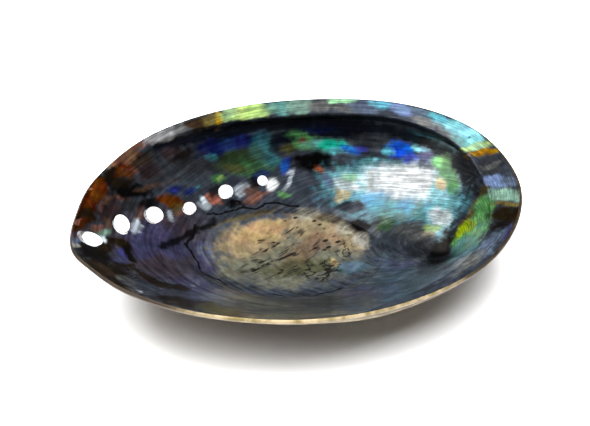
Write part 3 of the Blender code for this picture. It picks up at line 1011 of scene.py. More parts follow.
class Graph:
    """Adds nodes to a tree and joins them, so that a finish reads as a recipe."""

    def __init__(self, tree: bpy.types.NodeTree) -> None:
        """Work on the given tree."""
        self.tree = tree

    def add(self, kind: str, inputs: dict | None = None, **settings: object) -> bpy.types.Node:
        """Add one node.

        Args:
            kind: The node's type, without its ShaderNode prefix.
            inputs: A number, a colour or another node's output for each input, by its name or place.
            settings: The node's own settings.

        Returns:
            The new node.
        """
        node = self.tree.nodes.new("ShaderNode" + kind)
        for name, value in settings.items():
            setattr(node, name, value)
        for name, value in (inputs or {}).items():
            if isinstance(value, bpy.types.NodeSocket):
                self.tree.links.new(value, node.inputs[name])
            else:
                node.inputs[name].default_value = value
        return node

    def attribute(self, name: str) -> bpy.types.Node:
        """Node that reads one of the mesh's attributes."""
        return self.add("Attribute", attribute_name=name, attribute_type="GEOMETRY")

    def math(self, operation: str, *values: object, clamp: bool = False) -> bpy.types.NodeSocket:
        """Result of a sum on numbers or outputs."""
        inputs = dict(enumerate(values))
        return self.add("Math", inputs, operation=operation, use_clamp=clamp).outputs[0]

    def mix(self, share: object, first: object, second: object) -> bpy.types.NodeSocket:
        """Mix two colours.

        Args:
            share: Share of the second colour, a number or an output.
            first: A colour or an output.
            second: A colour or an output.

        Returns:
            The mixed colour's output.
        """
        node = self.add("Mix", data_type="RGBA")
        for name, value in (("Factor", share), ("A", first), ("B", second)):
            socket = next(s for s in node.inputs if s.name == name and s.enabled)
            if isinstance(value, bpy.types.NodeSocket):
                self.tree.links.new(value, socket)
            else:
                socket.default_value = value
        return next(s for s in node.outputs if s.enabled)

    def ramp(self, value: bpy.types.NodeSocket, low: float, high: float) -> bpy.types.NodeSocket:
        """A smooth step of a value, from 0 at low to 1 at high."""
        inputs = {"Value": value, "From Min": low, "From Max": high}
        return self.add("MapRange", inputs, interpolation_type="SMOOTHSTEP").outputs["Result"]


def rgba(hue: Hue) -> tuple[float, ...]:
    """A named colour as a socket takes it."""
    return (*hue.linear(), 1.0)


class GrowthGrain:
    """Node group shared by the finishes: streaks along the growth lines and a fine mottle."""

    name: str = "growth_grain"
    detail: tuple[float, float] = (4.0, 3.0)
    roughness: float = 0.6
    streak_edge: tuple[float, float] = (0.3, 0.7)
    mottle_edge: tuple[float, float] = (0.35, 0.65)
    mottle_height: float = 0.4

    def __init__(self) -> None:
        """Make the group, with its inputs Fineness and Mottle Scale."""
        group = bpy.data.node_groups.new(self.name, "ShaderNodeTree")
        for label, value in (("Fineness", 1.0), ("Mottle Scale", 420.0)):
            socket = group.interface.new_socket(label, in_out="INPUT", socket_type="NodeSocketFloat")
            socket.default_value = value
        for label in ("Streak", "Mottle", "Height"):
            group.interface.new_socket(label, in_out="OUTPUT", socket_type="NodeSocketFloat")
        graph = Graph(group)
        given = graph.add("TexCoord")
        start = group.nodes.new("NodeGroupInput")
        end = group.nodes.new("NodeGroupOutput")
        flow = graph.attribute("flow").outputs["Vector"]
        patterns = []
        for vector, scale, detail in (
            (flow, "Fineness", self.detail[0]),
            (given.outputs["Object"], "Mottle Scale", self.detail[1]),
        ):
            inputs = {"Vector": vector, "Scale": start.outputs[scale]}
            inputs |= {"Detail": detail, "Roughness": self.roughness}
            patterns.append(graph.add("TexNoise", inputs).outputs["Fac"])
        streak, mottle = patterns
        height = graph.math("MULTIPLY_ADD", mottle, self.mottle_height, streak)
        group.links.new(graph.ramp(streak, *self.streak_edge), end.inputs["Streak"])
        group.links.new(graph.ramp(mottle, *self.mottle_edge), end.inputs["Mottle"])
        group.links.new(height, end.inputs["Height"])
        self.tree = group

    def use(self, graph: Graph, fineness: float, mottle_scale: float) -> bpy.types.Node:
        """Place the group in a material.

        Args:
            graph: The material's graph.
            fineness: How fine the streaks are.
            mottle_scale: How fine the mottle is.

        Returns:
            The group's node.
        """
        node = graph.add("Group", node_tree=self.tree)
        node.inputs["Fineness"].default_value = fineness
        node.inputs["Mottle Scale"].default_value = mottle_scale
        return node


def fresh_graph(material: bpy.types.Material) -> tuple[Graph, bpy.types.Node]:
    """Clear a material.

    Args:
        material: The material.

    Returns:
        Its graph, and its new Principled node joined to the output.
    """
    material.use_nodes = True
    material.node_tree.nodes.clear()
    graph = Graph(material.node_tree)
    surface = graph.add("BsdfPrincipled")
    output = graph.add("OutputMaterial")
    material.node_tree.links.new(surface.outputs["BSDF"], output.inputs["Surface"])
    return graph, surface


@dataclass(frozen=True)
class NacreFinish:
    """Polished nacre with the rough scar of the muscle.

    A pair named as an edge is where a mask starts and where it is full. Distances are in metres.
    """

    fineness: float = 0.9
    mottle_scale: float = 300.0
    cloud_scale: float = 160.0
    gain: float = 0.34
    saturation: float = 1.1
    hue_swing: float = 0.1
    streak_swing: float = 1.0
    mottle_swing: float = 0.5
    scar_wobble: float = 0.16
    scar_edge: tuple[float, float] = (0.99, 0.93)
    scar_calm: float = 0.7
    metallic: float = 0.45
    scar_metal_loss: float = 0.85
    roughness: float = 0.24
    scar_roughness: float = 0.5
    coat: float = 0.8
    scar_coat_loss: float = 0.75
    coat_full_at: float = 0.05
    coat_roughness: float = 0.06
    specular: float = 0.2
    mark_strength: float = 0.93
    wrinkle_turn: float = math.radians(-27)
    wrinkle_scale: tuple[float, float, float] = (110, 420, 200)
    wrinkle_edge: tuple[float, float] = (0.47, 0.38)
    pit_turn: float = math.radians(-10)
    pit_scale: tuple[float, float, float] = (230, 420, 300)
    pit_edge: tuple[float, float] = (0.33, 0.22)
    squiggle_scale: float = 190.0
    squiggle_edge: tuple[float, float] = (0.075, 0.03)
    ditch_at: float = 1.05
    ditch_half: float = 0.022
    ditch_wobble: float = 0.3
    ditch_wobble_scale: float = 90.0
    ditch_gap_scale: float = 110.0
    ditch_shown: tuple[float, float] = (0.62, 0.9)
    bump: float = 0.25
    coat_bump: float = 0.12
    bump_distance: float = 0.0006
    streak_height: float = 0.3
    wrinkle_height: float = 2.2
    mark_depth: float = 0.8

    def dress(self, material: bpy.types.Material, grain: GrowthGrain) -> None:
        """Fill the material.

        Args:
            material: The material of the shell's inside.
            grain: The shared streaks.
        """
        graph, surface = fresh_graph(material)
        links = material.node_tree.links
        place = graph.add("TexCoord").outputs["Object"]
        tint = graph.attribute("tint").outputs["Color"]
        marks = graph.add("SeparateColor", {"Color": graph.attribute("marks").outputs["Color"]})
        oval = graph.attribute("oval").outputs["Fac"]
        streaks = grain.use(graph, self.fineness, self.mottle_scale)
        streak, mottle = streaks.outputs["Streak"], streaks.outputs["Mottle"]

        inputs = {"Vector": place, "Scale": self.cloud_scale, "Detail": 3.0}
        broad = graph.add("TexNoise", inputs).outputs["Fac"]
        hue = graph.math("MULTIPLY_ADD", broad, self.hue_swing, 0.5 - self.hue_swing / 2)
        wobbled = graph.math("MULTIPLY_ADD", broad, self.scar_wobble, oval)
        scar_mask = graph.ramp(wobbled, *self.scar_edge)
        calm = graph.math("MULTIPLY_ADD", scar_mask, -self.scar_calm, self.streak_swing)
        swing = graph.math("MULTIPLY", graph.math("SUBTRACT", streak, 0.5), calm)
        speckle = graph.math("SUBTRACT", mottle, 0.5)
        swing = graph.math("MULTIPLY_ADD", speckle, self.mottle_swing, swing)
        light = graph.math("MULTIPLY", graph.math("EXPONENT", swing), self.gain)
        inputs = {"Hue": hue, "Saturation": self.saturation, "Value": light, "Color": tint}
        colour = graph.add("HueSaturation", inputs).outputs["Color"]

        wrinkle = self.wrinkles(graph, place)
        folds = graph.ramp(wrinkle, *self.wrinkle_edge)
        dark = graph.math("MULTIPLY", folds, marks.outputs["Green"])
        pits = graph.math("MULTIPLY", self.pits(graph, place), marks.outputs["Red"])
        dark = graph.math("MAXIMUM", dark, pits)
        worms = graph.math("MULTIPLY", self.squiggles(graph, place), marks.outputs["Blue"])
        dark = graph.math("MULTIPLY", graph.math("MAXIMUM", dark, worms), scar_mask)
        dark = graph.math("MAXIMUM", dark, self.ditch(graph, oval, place), clamp=True)
        colour = graph.mix(graph.math("MULTIPLY", dark, self.mark_strength), colour, rgba(Hue.INK))
        links.new(colour, surface.inputs["Base Color"])

        metal_loss = -self.scar_metal_loss * self.metallic
        metal = graph.math("MULTIPLY_ADD", scar_mask, metal_loss, self.metallic)
        links.new(metal, surface.inputs["Metallic"])
        rougher = self.scar_roughness - self.roughness
        rough = graph.math("MULTIPLY_ADD", scar_mask, rougher, self.roughness)
        links.new(rough, surface.inputs["Roughness"])
        lit = graph.add("RGBToBW", {"Color": colour}).outputs["Val"]
        coat = graph.math("MULTIPLY_ADD", scar_mask, -self.scar_coat_loss, self.coat)
        coat = graph.math("MULTIPLY", graph.ramp(lit, 0.0, self.coat_full_at), coat)
        links.new(coat, surface.inputs["Coat Weight"])
        surface.inputs["Specular IOR Level"].default_value = self.specular
        surface.inputs["Coat Roughness"].default_value = self.coat_roughness

        height = graph.math("MULTIPLY", streaks.outputs["Height"], self.streak_height)
        sunk = graph.math("MULTIPLY", dark, -self.mark_depth)
        relief = graph.math("MULTIPLY_ADD", wrinkle, self.wrinkle_height, sunk)
        height = graph.math("MULTIPLY_ADD", relief, scar_mask, height)
        for strength, socket in ((self.bump, "Normal"), (self.coat_bump, "Coat Normal")):
            inputs = {"Strength": strength, "Distance": self.bump_distance, "Height": height}
            links.new(graph.add("Bump", inputs).outputs["Normal"], surface.inputs[socket])

    def drawn(
        self,
        graph: Graph,
        place: bpy.types.NodeSocket,
        turn: float,
        scale: tuple[float, float, float],
    ) -> bpy.types.NodeSocket:
        """Places turned in plan and then drawn out, for marks that run one way.

        Args:
            graph: The material's graph.
            place: Output with the place on the shell.
            turn: Turn in plan, in radians.
            scale: How often a pattern repeats along each axis, in a metre.

        Returns:
            Output with the new places.
        """
        turned = graph.add("Mapping", {"Vector": place, "Rotation": (0, 0, turn)}).outputs["Vector"]
        return graph.add("Mapping", {"Vector": turned, "Scale": scale}).outputs["Vector"]

    def wrinkles(self, graph: Graph, place: bpy.types.NodeSocket) -> bpy.types.NodeSocket:
        """Long wrinkles of the scar, which run to its far right.

        Args:
            graph: The material's graph.
            place: Output with the place on the shell.

        Returns:
            Output from 0 to 1, low in the wrinkles.
        """
        drawn = self.drawn(graph, place, self.wrinkle_turn, self.wrinkle_scale)
        inputs = {"Vector": drawn, "Scale": 1.0, "Detail": 4.0, "Distortion": 0.8}
        return graph.add("TexNoise", inputs).outputs["Fac"]

    def pits(self, graph: Graph, place: bpy.types.NodeSocket) -> bpy.types.NodeSocket:
        """Small dark pits.

        Args:
            graph: The material's graph.
            place: Output with the place on the shell.

        Returns:
            Output that is 1 in each pit.
        """
        drawn = self.drawn(graph, place, self.pit_turn, self.pit_scale)
        cells = graph.add("TexVoronoi", {"Vector": drawn, "Scale": 1.0}, feature="F1")
        return graph.ramp(cells.outputs["Distance"], *self.pit_edge)

    def squiggles(self, graph: Graph, place: bpy.types.NodeSocket) -> bpy.types.NodeSocket:
        """Dark lines like the paths of worms.

        Args:
            graph: The material's graph.
            place: Output with the place on the shell.

        Returns:
            Output that is 1 on each line.
        """
        inputs = {"Vector": place, "Scale": self.squiggle_scale, "Distortion": 1.6, "Detail": 2.0}
        lumps = graph.add("TexNoise", inputs).outputs["Fac"]
        away = graph.math("ABSOLUTE", graph.math("SUBTRACT", lumps, 0.5))
        return graph.ramp(away, *self.squiggle_edge)

    def ditch(
        self, graph: Graph, oval: bpy.types.NodeSocket, place: bpy.types.NodeSocket
    ) -> bpy.types.NodeSocket:
        """Broken black ditch round the scar.

        Args:
            graph: The material's graph.
            oval: Output with the place on the scar's oval, 1 at its outline.
            place: Output with the place on the shell.

        Returns:
            Output that is 1 in the ditch.
        """
        inputs = {"Vector": place, "Scale": self.ditch_wobble_scale, "Detail": 4.0}
        wobble = graph.add("TexNoise", inputs).outputs["Fac"]
        centred = graph.math("SUBTRACT", oval, self.ditch_wobble / 2)
        line = graph.math("MULTIPLY_ADD", wobble, self.ditch_wobble, centred)
        away = graph.math("ABSOLUTE", graph.math("SUBTRACT", line, self.ditch_at))
        inside = graph.ramp(away, self.ditch_half, 0.4 * self.ditch_half)
        inputs = {"Vector": place, "Scale": self.ditch_gap_scale, "Detail": 3.0}
        gaps = graph.add("TexNoise", inputs).outputs["Fac"]
        shown = graph.math("ADD", gaps, graph.attribute("marks").outputs["Alpha"])
        return graph.math("MULTIPLY", inside, graph.ramp(shown, *self.ditch_shown))


@dataclass(frozen=True)
class RimFinish:
    """Worn edge: cream and gold layers to the front, dark brown elsewhere. Lengths are in metres."""

    fineness: float = 0.6
    mottle_scale: float = 260.0
    roughness: float = 0.4
    front_edge: tuple[float, float] = (-0.040, -0.050)
    right_edge: tuple[float, float] = (0.056, 0.030)
    bump: float = 0.3
    bump_distance: float = 0.0004

    def dress(self, material: bpy.types.Material, grain: GrowthGrain) -> None:
        """Fill the material.

        Args:
            material: The material of the rim.
            grain: The shared streaks.
        """
        graph, surface = fresh_graph(material)
        links = material.node_tree.links
        place = graph.add("TexCoord").outputs["Object"]
        streaks = grain.use(graph, self.fineness, self.mottle_scale)
        axes = graph.add("SeparateXYZ", {"Vector": place})
        front = graph.ramp(axes.outputs["Y"], *self.front_edge)
        front = graph.math("MULTIPLY", front, graph.ramp(axes.outputs["X"], *self.right_edge))
        gold = graph.mix(streaks.outputs["Mottle"], rgba(Hue.BRONZE), rgba(Hue.SAND))
        brown = graph.mix(streaks.outputs["Mottle"], rgba(Hue.UMBER), rgba(Hue.BARK))
        links.new(graph.mix(front, brown, gold), surface.inputs["Base Color"])
        surface.inputs["Roughness"].default_value = self.roughness
        height = streaks.outputs["Height"]
        inputs = {"Strength": self.bump, "Distance": self.bump_distance, "Height": height}
        links.new(graph.add("Bump", inputs).outputs["Normal"], surface.inputs["Normal"])


@dataclass(frozen=True)
class CrustFinish:
    """Dull outer layer, in brown and grey growth bands, worn through to nacre in patches."""

    bands: tuple[tuple[float, Hue], ...] = (
        (0.0, Hue.UMBER),
        (0.35, Hue.BARK),
        (0.55, Hue.COCOA),
        (0.75, Hue.OLIVE),
        (1.0, Hue.SAND),
    )
    fineness: float = 0.5
    mottle_scale: float = 240.0
    cloud_scale: float = 45.0
    cloud_share: float = 0.6
    band_scale: float = 0.16
    band_range: tuple[float, float] = (0.5, 1.1)
    stain: float = 0.5
    worn_edge: tuple[float, float] = (0.42, 0.56)
    worn_share: float = 0.6
    roughness: float = 0.62
    worn_polish: float = 0.3
    bump: float = 0.8
    bump_distance: float = 0.0008

    def dress(self, material: bpy.types.Material, grain: GrowthGrain) -> None:
        """Fill the material.

        Args:
            material: The material of the outside.
            grain: The shared streaks.
        """
        graph, surface = fresh_graph(material)
        links = material.node_tree.links
        place = graph.add("TexCoord").outputs["Object"]
        streaks = grain.use(graph, self.fineness, self.mottle_scale)
        flow = graph.attribute("flow").outputs["Vector"]
        grown = graph.add("SeparateXYZ", {"Vector": flow}).outputs["X"]
        inputs = {"Vector": place, "Scale": self.cloud_scale, "Detail": 5.0}
        cloud = graph.add("TexNoise", inputs).outputs["Fac"]
        inputs = {"W": grown, "Scale": self.band_scale, "Detail": 3.0}
        years = graph.add("TexNoise", inputs, noise_dimensions="1D").outputs["Fac"]
        banded = graph.math("MULTIPLY_ADD", cloud, self.cloud_share, years)
        ramp = graph.add("ValToRGB", {"Fac": graph.ramp(banded, *self.band_range)})
        elements = ramp.color_ramp.elements
        while len(elements) < len(self.bands):
            elements.new(0.5)
        for element, (stop, hue) in zip(elements, self.bands):
            element.position = stop
            element.color = rgba(hue)
        stain = graph.math("MULTIPLY", streaks.outputs["Mottle"], self.stain)
        colour = graph.mix(stain, ramp.outputs["Color"], rgba(Hue.UMBER))
        worn = graph.ramp(graph.math("MULTIPLY", streaks.outputs["Streak"], cloud), *self.worn_edge)
        colour = graph.mix(graph.math("MULTIPLY", worn, self.worn_share), colour, rgba(Hue.SAGE))
        links.new(colour, surface.inputs["Base Color"])
        rough = graph.math("MULTIPLY_ADD", worn, -self.worn_polish, self.roughness)
        links.new(rough, surface.inputs["Roughness"])
        height = streaks.outputs["Height"]
        inputs = {"Strength": self.bump, "Distance": self.bump_distance, "Height": height}
        links.new(graph.add("Bump", inputs).outputs["Normal"], surface.inputs["Normal"])


@dataclass(frozen=True)
class HoleFinish:
    """Smooth pale nacre of the holes' walls, mottled with brown."""

    fineness: float = 1.0
    mottle_scale: float = 500.0
    metallic: float = 0.4
    roughness: float = 0.2
    coat: float = 1.0

    def dress(self, material: bpy.types.Material, grain: GrowthGrain) -> None:
        """Fill the material.

        Args:
            material: The material of the holes' walls.
            grain: The shared streaks.
        """
        graph, surface = fresh_graph(material)
        streaks = grain.use(graph, self.fineness, self.mottle_scale)
        colour = graph.mix(streaks.outputs["Mottle"], rgba(Hue.COCOA), rgba(Hue.PEARL))
        material.node_tree.links.new(colour, surface.inputs["Base Color"])
        surface.inputs["Metallic"].default_value = self.metallic
        surface.inputs["Roughness"].default_value = self.roughness
        surface.inputs["Coat Weight"].default_value = self.coat


class Side(Enum):
    """The shell's surfaces, each with the number of its finish."""

    INSIDE = 0
    RIM = 1
    OUTSIDE = 2
    HOLE = 3

    def finish(self) -> "NacreFinish | RimFinish | CrustFinish | HoleFinish":
        """The finish that this surface gets."""
        return (NacreFinish(), RimFinish(), CrustFinish(), HoleFinish())[self.value]


@dataclass
class Shell:
    """The shell's mesh: two wrapped grids joined round the rim, with its open holes cut."""

    form: ShellForm = field(default_factory=ShellForm)
    inner_relief: InnerRelief = field(default_factory=InnerRelief)
    outer_relief: OuterRelief = field(default_factory=OuterRelief)
    hollow_rings: int = 100
    edge_rings: int = 32
    rim_rings: int = 4
    outer_share: float = 0.5
    outer_fade: float = 0.375
    wall_samples: int = 400
    pin_sides: int = 40

    def build(self) -> bpy.types.Object:
        """Model the whole shell.

        Returns:
            Its object.
        """
        inner = self.make_sheet("abalone_shell_nacre", outside=False)
        outer = self.make_sheet("outer_sheet", outside=True)
        shell = self.join_sheets(inner, outer)
        self.raise_relief(shell)
        self.mark_faces(shell)
        self.cut_holes(shell)
        return shell

    def make_sheet(self, name: str, outside: bool) -> bpy.types.Object:
        """Add a grid and wrap it into one surface, the inner one with the rim's round edge.

        Args:
            name: Name of the new object.
            outside: Whether it is the outer surface.

        Returns:
            The wrapped sheet, facing away from the shell's wall.
        """
        share = self.outer_share if outside else 1.0
        hollow_rings, edge_rings = round(self.hollow_rings * share), round(self.edge_rings * share)
        rings = hollow_rings + edge_rings + (0 if outside else self.rim_rings)
        bpy.ops.object.select_all(action="DESELECT")
        bpy.ops.mesh.primitive_grid_add(x_subdivisions=2 * rings, y_subdivisions=2 * rings, size=2)
        sheet = bpy.context.object
        sheet.name = name
        flat = vertex_places(sheet.data)
        ring, angle = self.ring_and_angle(np.rint(flat[:, :2] * rings))
        part = np.minimum(ring / hollow_rings, 1.0)
        along_edge = np.clip((ring - hollow_rings) / edge_rings, 0.0, 1.0)
        places = self.form.sheets(part, along_edge, angle)[1 if outside else 0]
        section = part + along_edge
        if not outside:
            cap = (ring - hollow_rings - edge_rings) / (self.rim_rings + 1)
            section += np.maximum(cap, 0.0)
            places[cap > 0] = self.form.rim_cap(cap[cap > 0], angle[cap > 0])
        set_places(sheet.data, places * MM)
        bpy.ops.object.mode_set(mode="EDIT")
        bpy.ops.mesh.select_all(action="SELECT")
        bpy.ops.mesh.quads_convert_to_tris(quad_method="SHORTEST_DIAGONAL")
        if outside:
            bpy.ops.mesh.flip_normals()
        bpy.ops.object.mode_set(mode="OBJECT")
        write_attribute(sheet.data, "section", "FLOAT", -section if outside else section)
        return sheet

    def ring_and_angle(self, square: Array) -> tuple[Array, Array]:
        """Ring number and direction of each point of a square grid of whole numbers.

        Args:
            square: Rows of whole numbers, 0 at the grid's middle.

        Returns:
            Ring numbers, and directions that follow the shell's long outline.
        """
        across, up = square[:, 0], square[:, 1]
        safe_across = np.where(across == 0, 1, across)
        safe_up = np.where(up == 0, 1, up)
        turn = np.where(
            abs(across) >= abs(up),
            math.pi / 4 * up / safe_across + math.pi * (across < 0),
            math.pi / 2 - math.pi / 4 * across / safe_up + math.pi * (up < 0),
        )
        half_length, half_width = np.abs(self.form.rim_curve()[:, :2]).max(axis=0)
        angle = np.arctan2(half_width * np.sin(turn), half_length * np.cos(turn))
        return np.maximum(abs(across), abs(up)), angle

    def join_sheets(self, inner: bpy.types.Object, outer: bpy.types.Object) -> bpy.types.Object:
        """Join the two surfaces under the rim.

        Args:
            inner: The inner surface, which the joined mesh keeps.
            outer: The outer surface.

        Returns:
            The closed shell.
        """
        bpy.ops.object.select_all(action="DESELECT")
        outer.select_set(True)
        inner.select_set(True)
        bpy.context.view_layer.objects.active = inner
        bpy.ops.object.join()
        bpy.ops.object.mode_set(mode="EDIT")
        bpy.ops.mesh.select_mode(type="EDGE")
        bpy.ops.mesh.select_all(action="DESELECT")
        bpy.ops.mesh.select_non_manifold()
        bpy.ops.mesh.bridge_edge_loops()
        bpy.ops.mesh.select_all(action="SELECT")
        bpy.ops.mesh.quads_convert_to_tris(quad_method="SHORTEST_DIAGONAL")
        bpy.ops.object.mode_set(mode="OBJECT")
        return inner

    def raise_relief(self, shell: bpy.types.Object) -> None:
        """Move the surfaces along their normals by their relief, and flatten the resting spot.

        Args:
            shell: The closed shell.
        """
        mesh = shell.data
        places = vertex_places(mesh) / MM
        section = read_floats(mesh, "section")
        normals = vertex_normals(mesh)
        inside = (section >= 0) & (section < 2)
        outside = section < 0
        relief = np.zeros(len(places))
        relief[inside] = self.inner_relief.height(self.form, places[inside], section[inside])
        fade = smooth((2 + section[outside]) / self.outer_fade)
        relief[outside] = self.outer_relief.height(self.form, places[outside]) * fade
        places += normals * relief[:, None]
        places[:, 2] = np.maximum(places[:, 2], 0.0)
        set_places(mesh, places * MM)

    def mark_faces(self, shell: bpy.types.Object) -> None:
        """Give each face the number of its finish: inside, rim or outside.

        Args:
            shell: The closed shell, of triangles.
        """
        mesh = shell.data
        section = read_floats(mesh, "section")
        corners = np.empty(len(mesh.polygons) * 3, dtype=np.int32)
        mesh.polygons.foreach_get("vertices", corners)
        faces = section[corners.reshape(-1, 3)]
        finish = np.full(len(faces), Side.INSIDE.value)
        finish[faces.max(axis=1) > 2.0] = Side.RIM.value
        finish[faces.min(axis=1) < 0] = Side.OUTSIDE.value
        for side in Side:
            mesh.materials.append(bpy.data.materials.new(side.name.lower()))
        mesh.polygons.foreach_set("material_index", finish.astype(np.int32))

    def wall_at(self, x: float, y: float) -> tuple[Array, Array]:
        """Find the wall at a place in plan.

        Args:
            x: Place along the shell.
            y: Place across it.

        Returns:
            Points of the inner and of the outer surface.
        """
        offset = np.array([x, y]) - self.form.pole
        angle = math.atan2(offset[1], offset[0])
        part = np.linspace(0, 1, self.wall_samples)
        inner, outer = self.form.sheets(part, np.zeros_like(part), np.full_like(part, angle))
        nearest = np.argmin(np.hypot(inner[:, 0] - x, inner[:, 1] - y))
        return inner[nearest], outer[nearest]

    def cut_holes(self, shell: bpy.types.Object) -> None:
        """Cut the open holes with pins that flare at both ends.

        Args:
            shell: The shell, with its finishes numbered.
        """
        pins = [self.make_pin(hole) for hole in self.form.holes]
        bpy.ops.object.select_all(action="DESELECT")
        for pin in pins:
            pin.select_set(True)
        bpy.context.view_layer.objects.active = pins[0]
        bpy.ops.object.join()
        for material in shell.data.materials:
            pins[0].data.materials.append(material)
        wall = np.full(len(pins[0].data.polygons), Side.HOLE.value, dtype=np.int32)
        pins[0].data.polygons.foreach_set("material_index", wall)
        cut = shell.modifiers.new("breathing_holes", "BOOLEAN")
        cut.operation = "DIFFERENCE"
        cut.object = pins[0]
        bpy.context.view_layer.objects.active = shell
        bpy.ops.object.modifier_apply(modifier=cut.name)
        bpy.data.objects.remove(pins[0], do_unlink=True)

    def make_pin(self, hole: Hole) -> bpy.types.Object:
        """Oval pin that cuts one hole, narrowest inside the wall and flared to a round lip.

        Args:
            hole: The hole that it cuts.

        Returns:
            The pin, in place.
        """
        inner, outer = self.wall_at(hole.x, hole.y)
        normal = Vector(inner - outer).normalized()
        axis = normal.lerp(Vector(self.form.hole_slant), self.form.slant_share).normalized()
        level = Vector((0, 0, 1)).cross(axis).normalized()
        place = Matrix((level, axis.cross(level), axis)).transposed().to_4x4()
        place.translation = Vector((inner + outer) / 2) * MM
        bpy.ops.object.select_all(action="DESELECT")
        bpy.ops.mesh.primitive_circle_add(vertices=self.pin_sides, radius=MM, fill_type="NGON")
        pin = bpy.context.object
        pin.name = "hole_pin"
        bpy.ops.object.mode_set(mode="EDIT")
        bpy.ops.mesh.select_all(action="SELECT")
        height, width = self.form.pin_profile[0]
        bpy.ops.transform.translate(value=(0, 0, height * MM))
        bpy.ops.transform.resize(value=(width, width, 1))
        for next_height, next_width in self.form.pin_profile[1:]:
            bpy.ops.mesh.extrude_region_move(
                TRANSFORM_OT_translate={"value": (0, 0, (next_height - height) * MM)}
            )
            bpy.ops.transform.resize(value=(next_width / width, next_width / width, 1))
            height, width = next_height, next_width
        bpy.ops.mesh.select_all(action="SELECT")
        bpy.ops.mesh.normals_make_consistent(inside=False)
        bpy.ops.object.mode_set(mode="OBJECT")
        oval = Matrix.Diagonal((hole.half_length, hole.half_width, 1.0, 1.0))
        pin.data.transform(place @ Matrix.Rotation(math.radians(hole.turn), 4, "Z") @ oval)
        return pin


def vertex_places(mesh: bpy.types.Mesh) -> Array:
    """Read where a mesh's vertices are.

    Args:
        mesh: The mesh.

    Returns:
        Their places in metres, one row each.
    """
    places = np.empty(len(mesh.vertices) * 3, dtype=np.float32)
    mesh.vertices.foreach_get("co", places)
    return places.reshape(-1, 3).astype(float)


def vertex_normals(mesh: bpy.types.Mesh) -> Array:
    """Read which way a mesh's vertices face.

    Args:
        mesh: The mesh.

    Returns:
        Their normals, one row each.
    """
    normals = np.empty(len(mesh.vertices) * 3, dtype=np.float32)
    mesh.vertices.foreach_get("normal", normals)
    return normals.reshape(-1, 3).astype(float)


def set_places(mesh: bpy.types.Mesh, places: Array) -> None:
    """Move a mesh's vertices to new places."""
    mesh.vertices.foreach_set("co", places.astype(np.float32).ravel())
    mesh.update()


def read_floats(mesh: bpy.types.Mesh, name: str) -> Array:
    """Read a number attribute.

    Args:
        mesh: The mesh.
        name: Name of the attribute.

    Returns:
        Its values, one for each vertex.
    """
    values = np.empty(len(mesh.vertices), dtype=np.float32)
    mesh.attributes[name].data.foreach_get("value", values)
    return values.astype(float)


def write_attribute(mesh: bpy.types.Mesh, name: str, kind: str, values: Array) -> None:
    """Store one value for each vertex.

    Args:
        mesh: The mesh.
        name: Name that the materials read it by.
        kind: FLOAT, FLOAT_VECTOR or FLOAT_COLOR.
        values: The values, one row for each vertex.
    """
    key = {"FLOAT": "value", "FLOAT_VECTOR": "vector", "FLOAT_COLOR": "color"}[kind]
    attribute = mesh.attributes.new(name, kind, "POINT")
    attribute.data.foreach_set(key, np.asarray(values, dtype=np.float32).ravel())


@dataclass(frozen=True)
class SoftBox:
    """Light that looks at the shell: angles in degrees, sizes in metres and power in watts."""

    name: str
    azimuth: float
    elevation: float
    distance: float
    size: tuple[float, float]
    power: float

    def add(self) -> bpy.types.Object:
        """Hang the light.

        Returns:
            Its object.
        """
        data = bpy.data.lights.new(self.name, "AREA")
        data.shape = "RECTANGLE"
        data.size, data.size_y = self.size
        data.energy = self.power
        light = bpy.data.objects.new(self.name, data)
        bpy.context.scene.collection.objects.link(light)
        turn, rise = math.radians(self.azimuth), math.radians(self.elevation)
        level = math.cos(rise)
        way = Vector((math.cos(turn) * level, math.sin(turn) * level, math.sin(rise)))
        light.location = way * self.distance
        light.rotation_euler = way.to_track_quat("Z", "Y").to_euler()
        return light


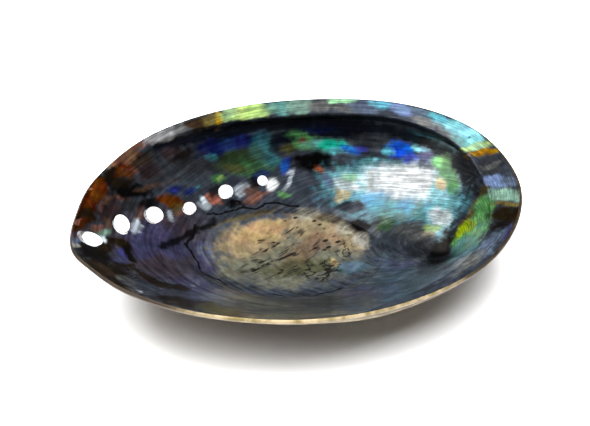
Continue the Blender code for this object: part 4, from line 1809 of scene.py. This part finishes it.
@dataclass(frozen=True)
class Studio:
    """Pale floor, soft light and the camera at the photograph's angle.

    The sheen is seen only in reflections, and the top light only lights what is dull.
    """

    floor_half: float = 2.0
    floor_drop: float = 0.00005
    floor_grey: float = 0.9
    room_light: float = 0.12
    backdrop: float = 1.0
    sheen: SoftBox = SoftBox("sheen", 160, 62, 0.75, (0.94, 0.7), 5.0)
    top: SoftBox = SoftBox("top", -170, 85, 0.8, (1.0, 1.0), 40.0)
    camera_azimuth: float = math.radians(-14)
    camera_elevation: float = math.radians(42)
    camera_distance: float = 0.60
    target: tuple[float, float, float] = (0.0, 0.0025, 0.030)
    pixels_per_radian: float = 1650.9
    photo_width: int = 590
    photo_height: int = 426
    target_pixel: tuple[float, float] = (296.0, 210.0)
    sensor_mm: float = 36.0

    def photo_place(self, points: Array) -> Array:
        """Where points are seen in the photograph.

        Args:
            points: Places in metres, one row each.

        Returns:
            Pixels from the photograph's upper left corner.
        """
        back = np.array(self.camera_back())
        right = np.cross(-back, (0, 0, 1))
        right /= np.linalg.norm(right)
        offset = points - np.array(self.target) - back * self.camera_distance
        depth = offset @ -back
        across = self.target_pixel[0] + self.pixels_per_radian * (offset @ right) / depth
        up = np.cross(right, -back)
        down = self.target_pixel[1] - self.pixels_per_radian * (offset @ up) / depth
        return np.stack([across, down], axis=1)

    def camera_back(self) -> Vector:
        """Find which way the camera stands.

        Returns:
            Direction from the target to the camera.
        """
        level = math.cos(self.camera_elevation)
        return Vector((
            math.sin(self.camera_azimuth) * level,
            -math.cos(self.camera_azimuth) * level,
            math.sin(self.camera_elevation),
        ))

    def add_camera(self) -> bpy.types.Object:
        """Add the camera and make it the scene's.

        Returns:
            The camera.
        """
        data = bpy.data.cameras.new("photo_camera")
        camera = bpy.data.objects.new("photo_camera", data)
        bpy.context.scene.collection.objects.link(camera)
        back = self.camera_back()
        camera.location = Vector(self.target) + back * self.camera_distance
        camera.rotation_euler = (-back).to_track_quat("-Z", "Y").to_euler()
        data.lens = self.pixels_per_radian / self.photo_width * self.sensor_mm
        data.sensor_width = self.sensor_mm
        data.clip_start = 0.01
        data.shift_x = (self.photo_width / 2 - self.target_pixel[0]) / self.photo_width
        data.shift_y = (self.target_pixel[1] - self.photo_height / 2) / self.photo_width
        bpy.context.scene.camera = camera
        return camera

    def add_floor(self) -> bpy.types.Object:
        """Add the floor that the shell stands on.

        Returns:
            The floor.
        """
        bpy.ops.object.select_all(action="DESELECT")
        place = (0, 0, -self.floor_drop)
        bpy.ops.mesh.primitive_plane_add(size=2 * self.floor_half, location=place)
        floor = bpy.context.object
        bpy.ops.object.transform_apply(location=True)
        floor.name = "floor"
        material = bpy.data.materials.new("pale_floor")
        material.use_nodes = True
        surface = material.node_tree.nodes["Principled BSDF"]
        surface.inputs["Base Color"].default_value = (*[self.floor_grey] * 3, 1)
        surface.inputs["Roughness"].default_value = 0.9
        floor.data.materials.append(material)
        return floor

    def add_lights(self) -> None:
        """Add the room's dim light, which the camera sees as a pale backdrop, and the soft boxes."""
        world = bpy.data.worlds.new("studio")
        bpy.context.scene.world = world
        world.use_nodes = True
        nodes, links = world.node_tree.nodes, world.node_tree.links
        background = nodes["Background"]
        path = nodes.new("ShaderNodeLightPath")
        mix = nodes.new("ShaderNodeMix")
        mix.data_type = "RGBA"
        mix.inputs["A"].default_value = (*[self.room_light] * 3, 1)
        mix.inputs["B"].default_value = (*[self.backdrop] * 3, 1)
        links.new(path.outputs["Is Camera Ray"], mix.inputs["Factor"])
        links.new(mix.outputs["Result"], background.inputs["Color"])
        bpy.context.scene.view_settings.view_transform = "Standard"
        self.sheen.add().visible_diffuse = False
        self.top.add().visible_glossy = False


def main() -> None:
    """Build and dress the shell, then the studio round it."""
    logging.basicConfig(level=logging.INFO, format="%(message)s")
    studio = Studio()
    builder = Shell()
    shell = builder.build()
    Painter().paint(shell, builder.form, studio)
    grain = GrowthGrain()
    for side in Side:
        side.finish().dress(shell.data.materials[side.value], grain)
    shell.data.shade_smooth()
    shell.data.set_sharp_from_angle(angle=SHARP_ANGLE)
    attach(shell, "root")
    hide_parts(NODE)
    LOG.info("shell: %d triangles", sum(len(face.vertices) - 2 for face in shell.data.polygons))
    studio.add_floor()
    studio.add_lights()
    studio.add_camera()


if __name__ == "__main__":
    main()
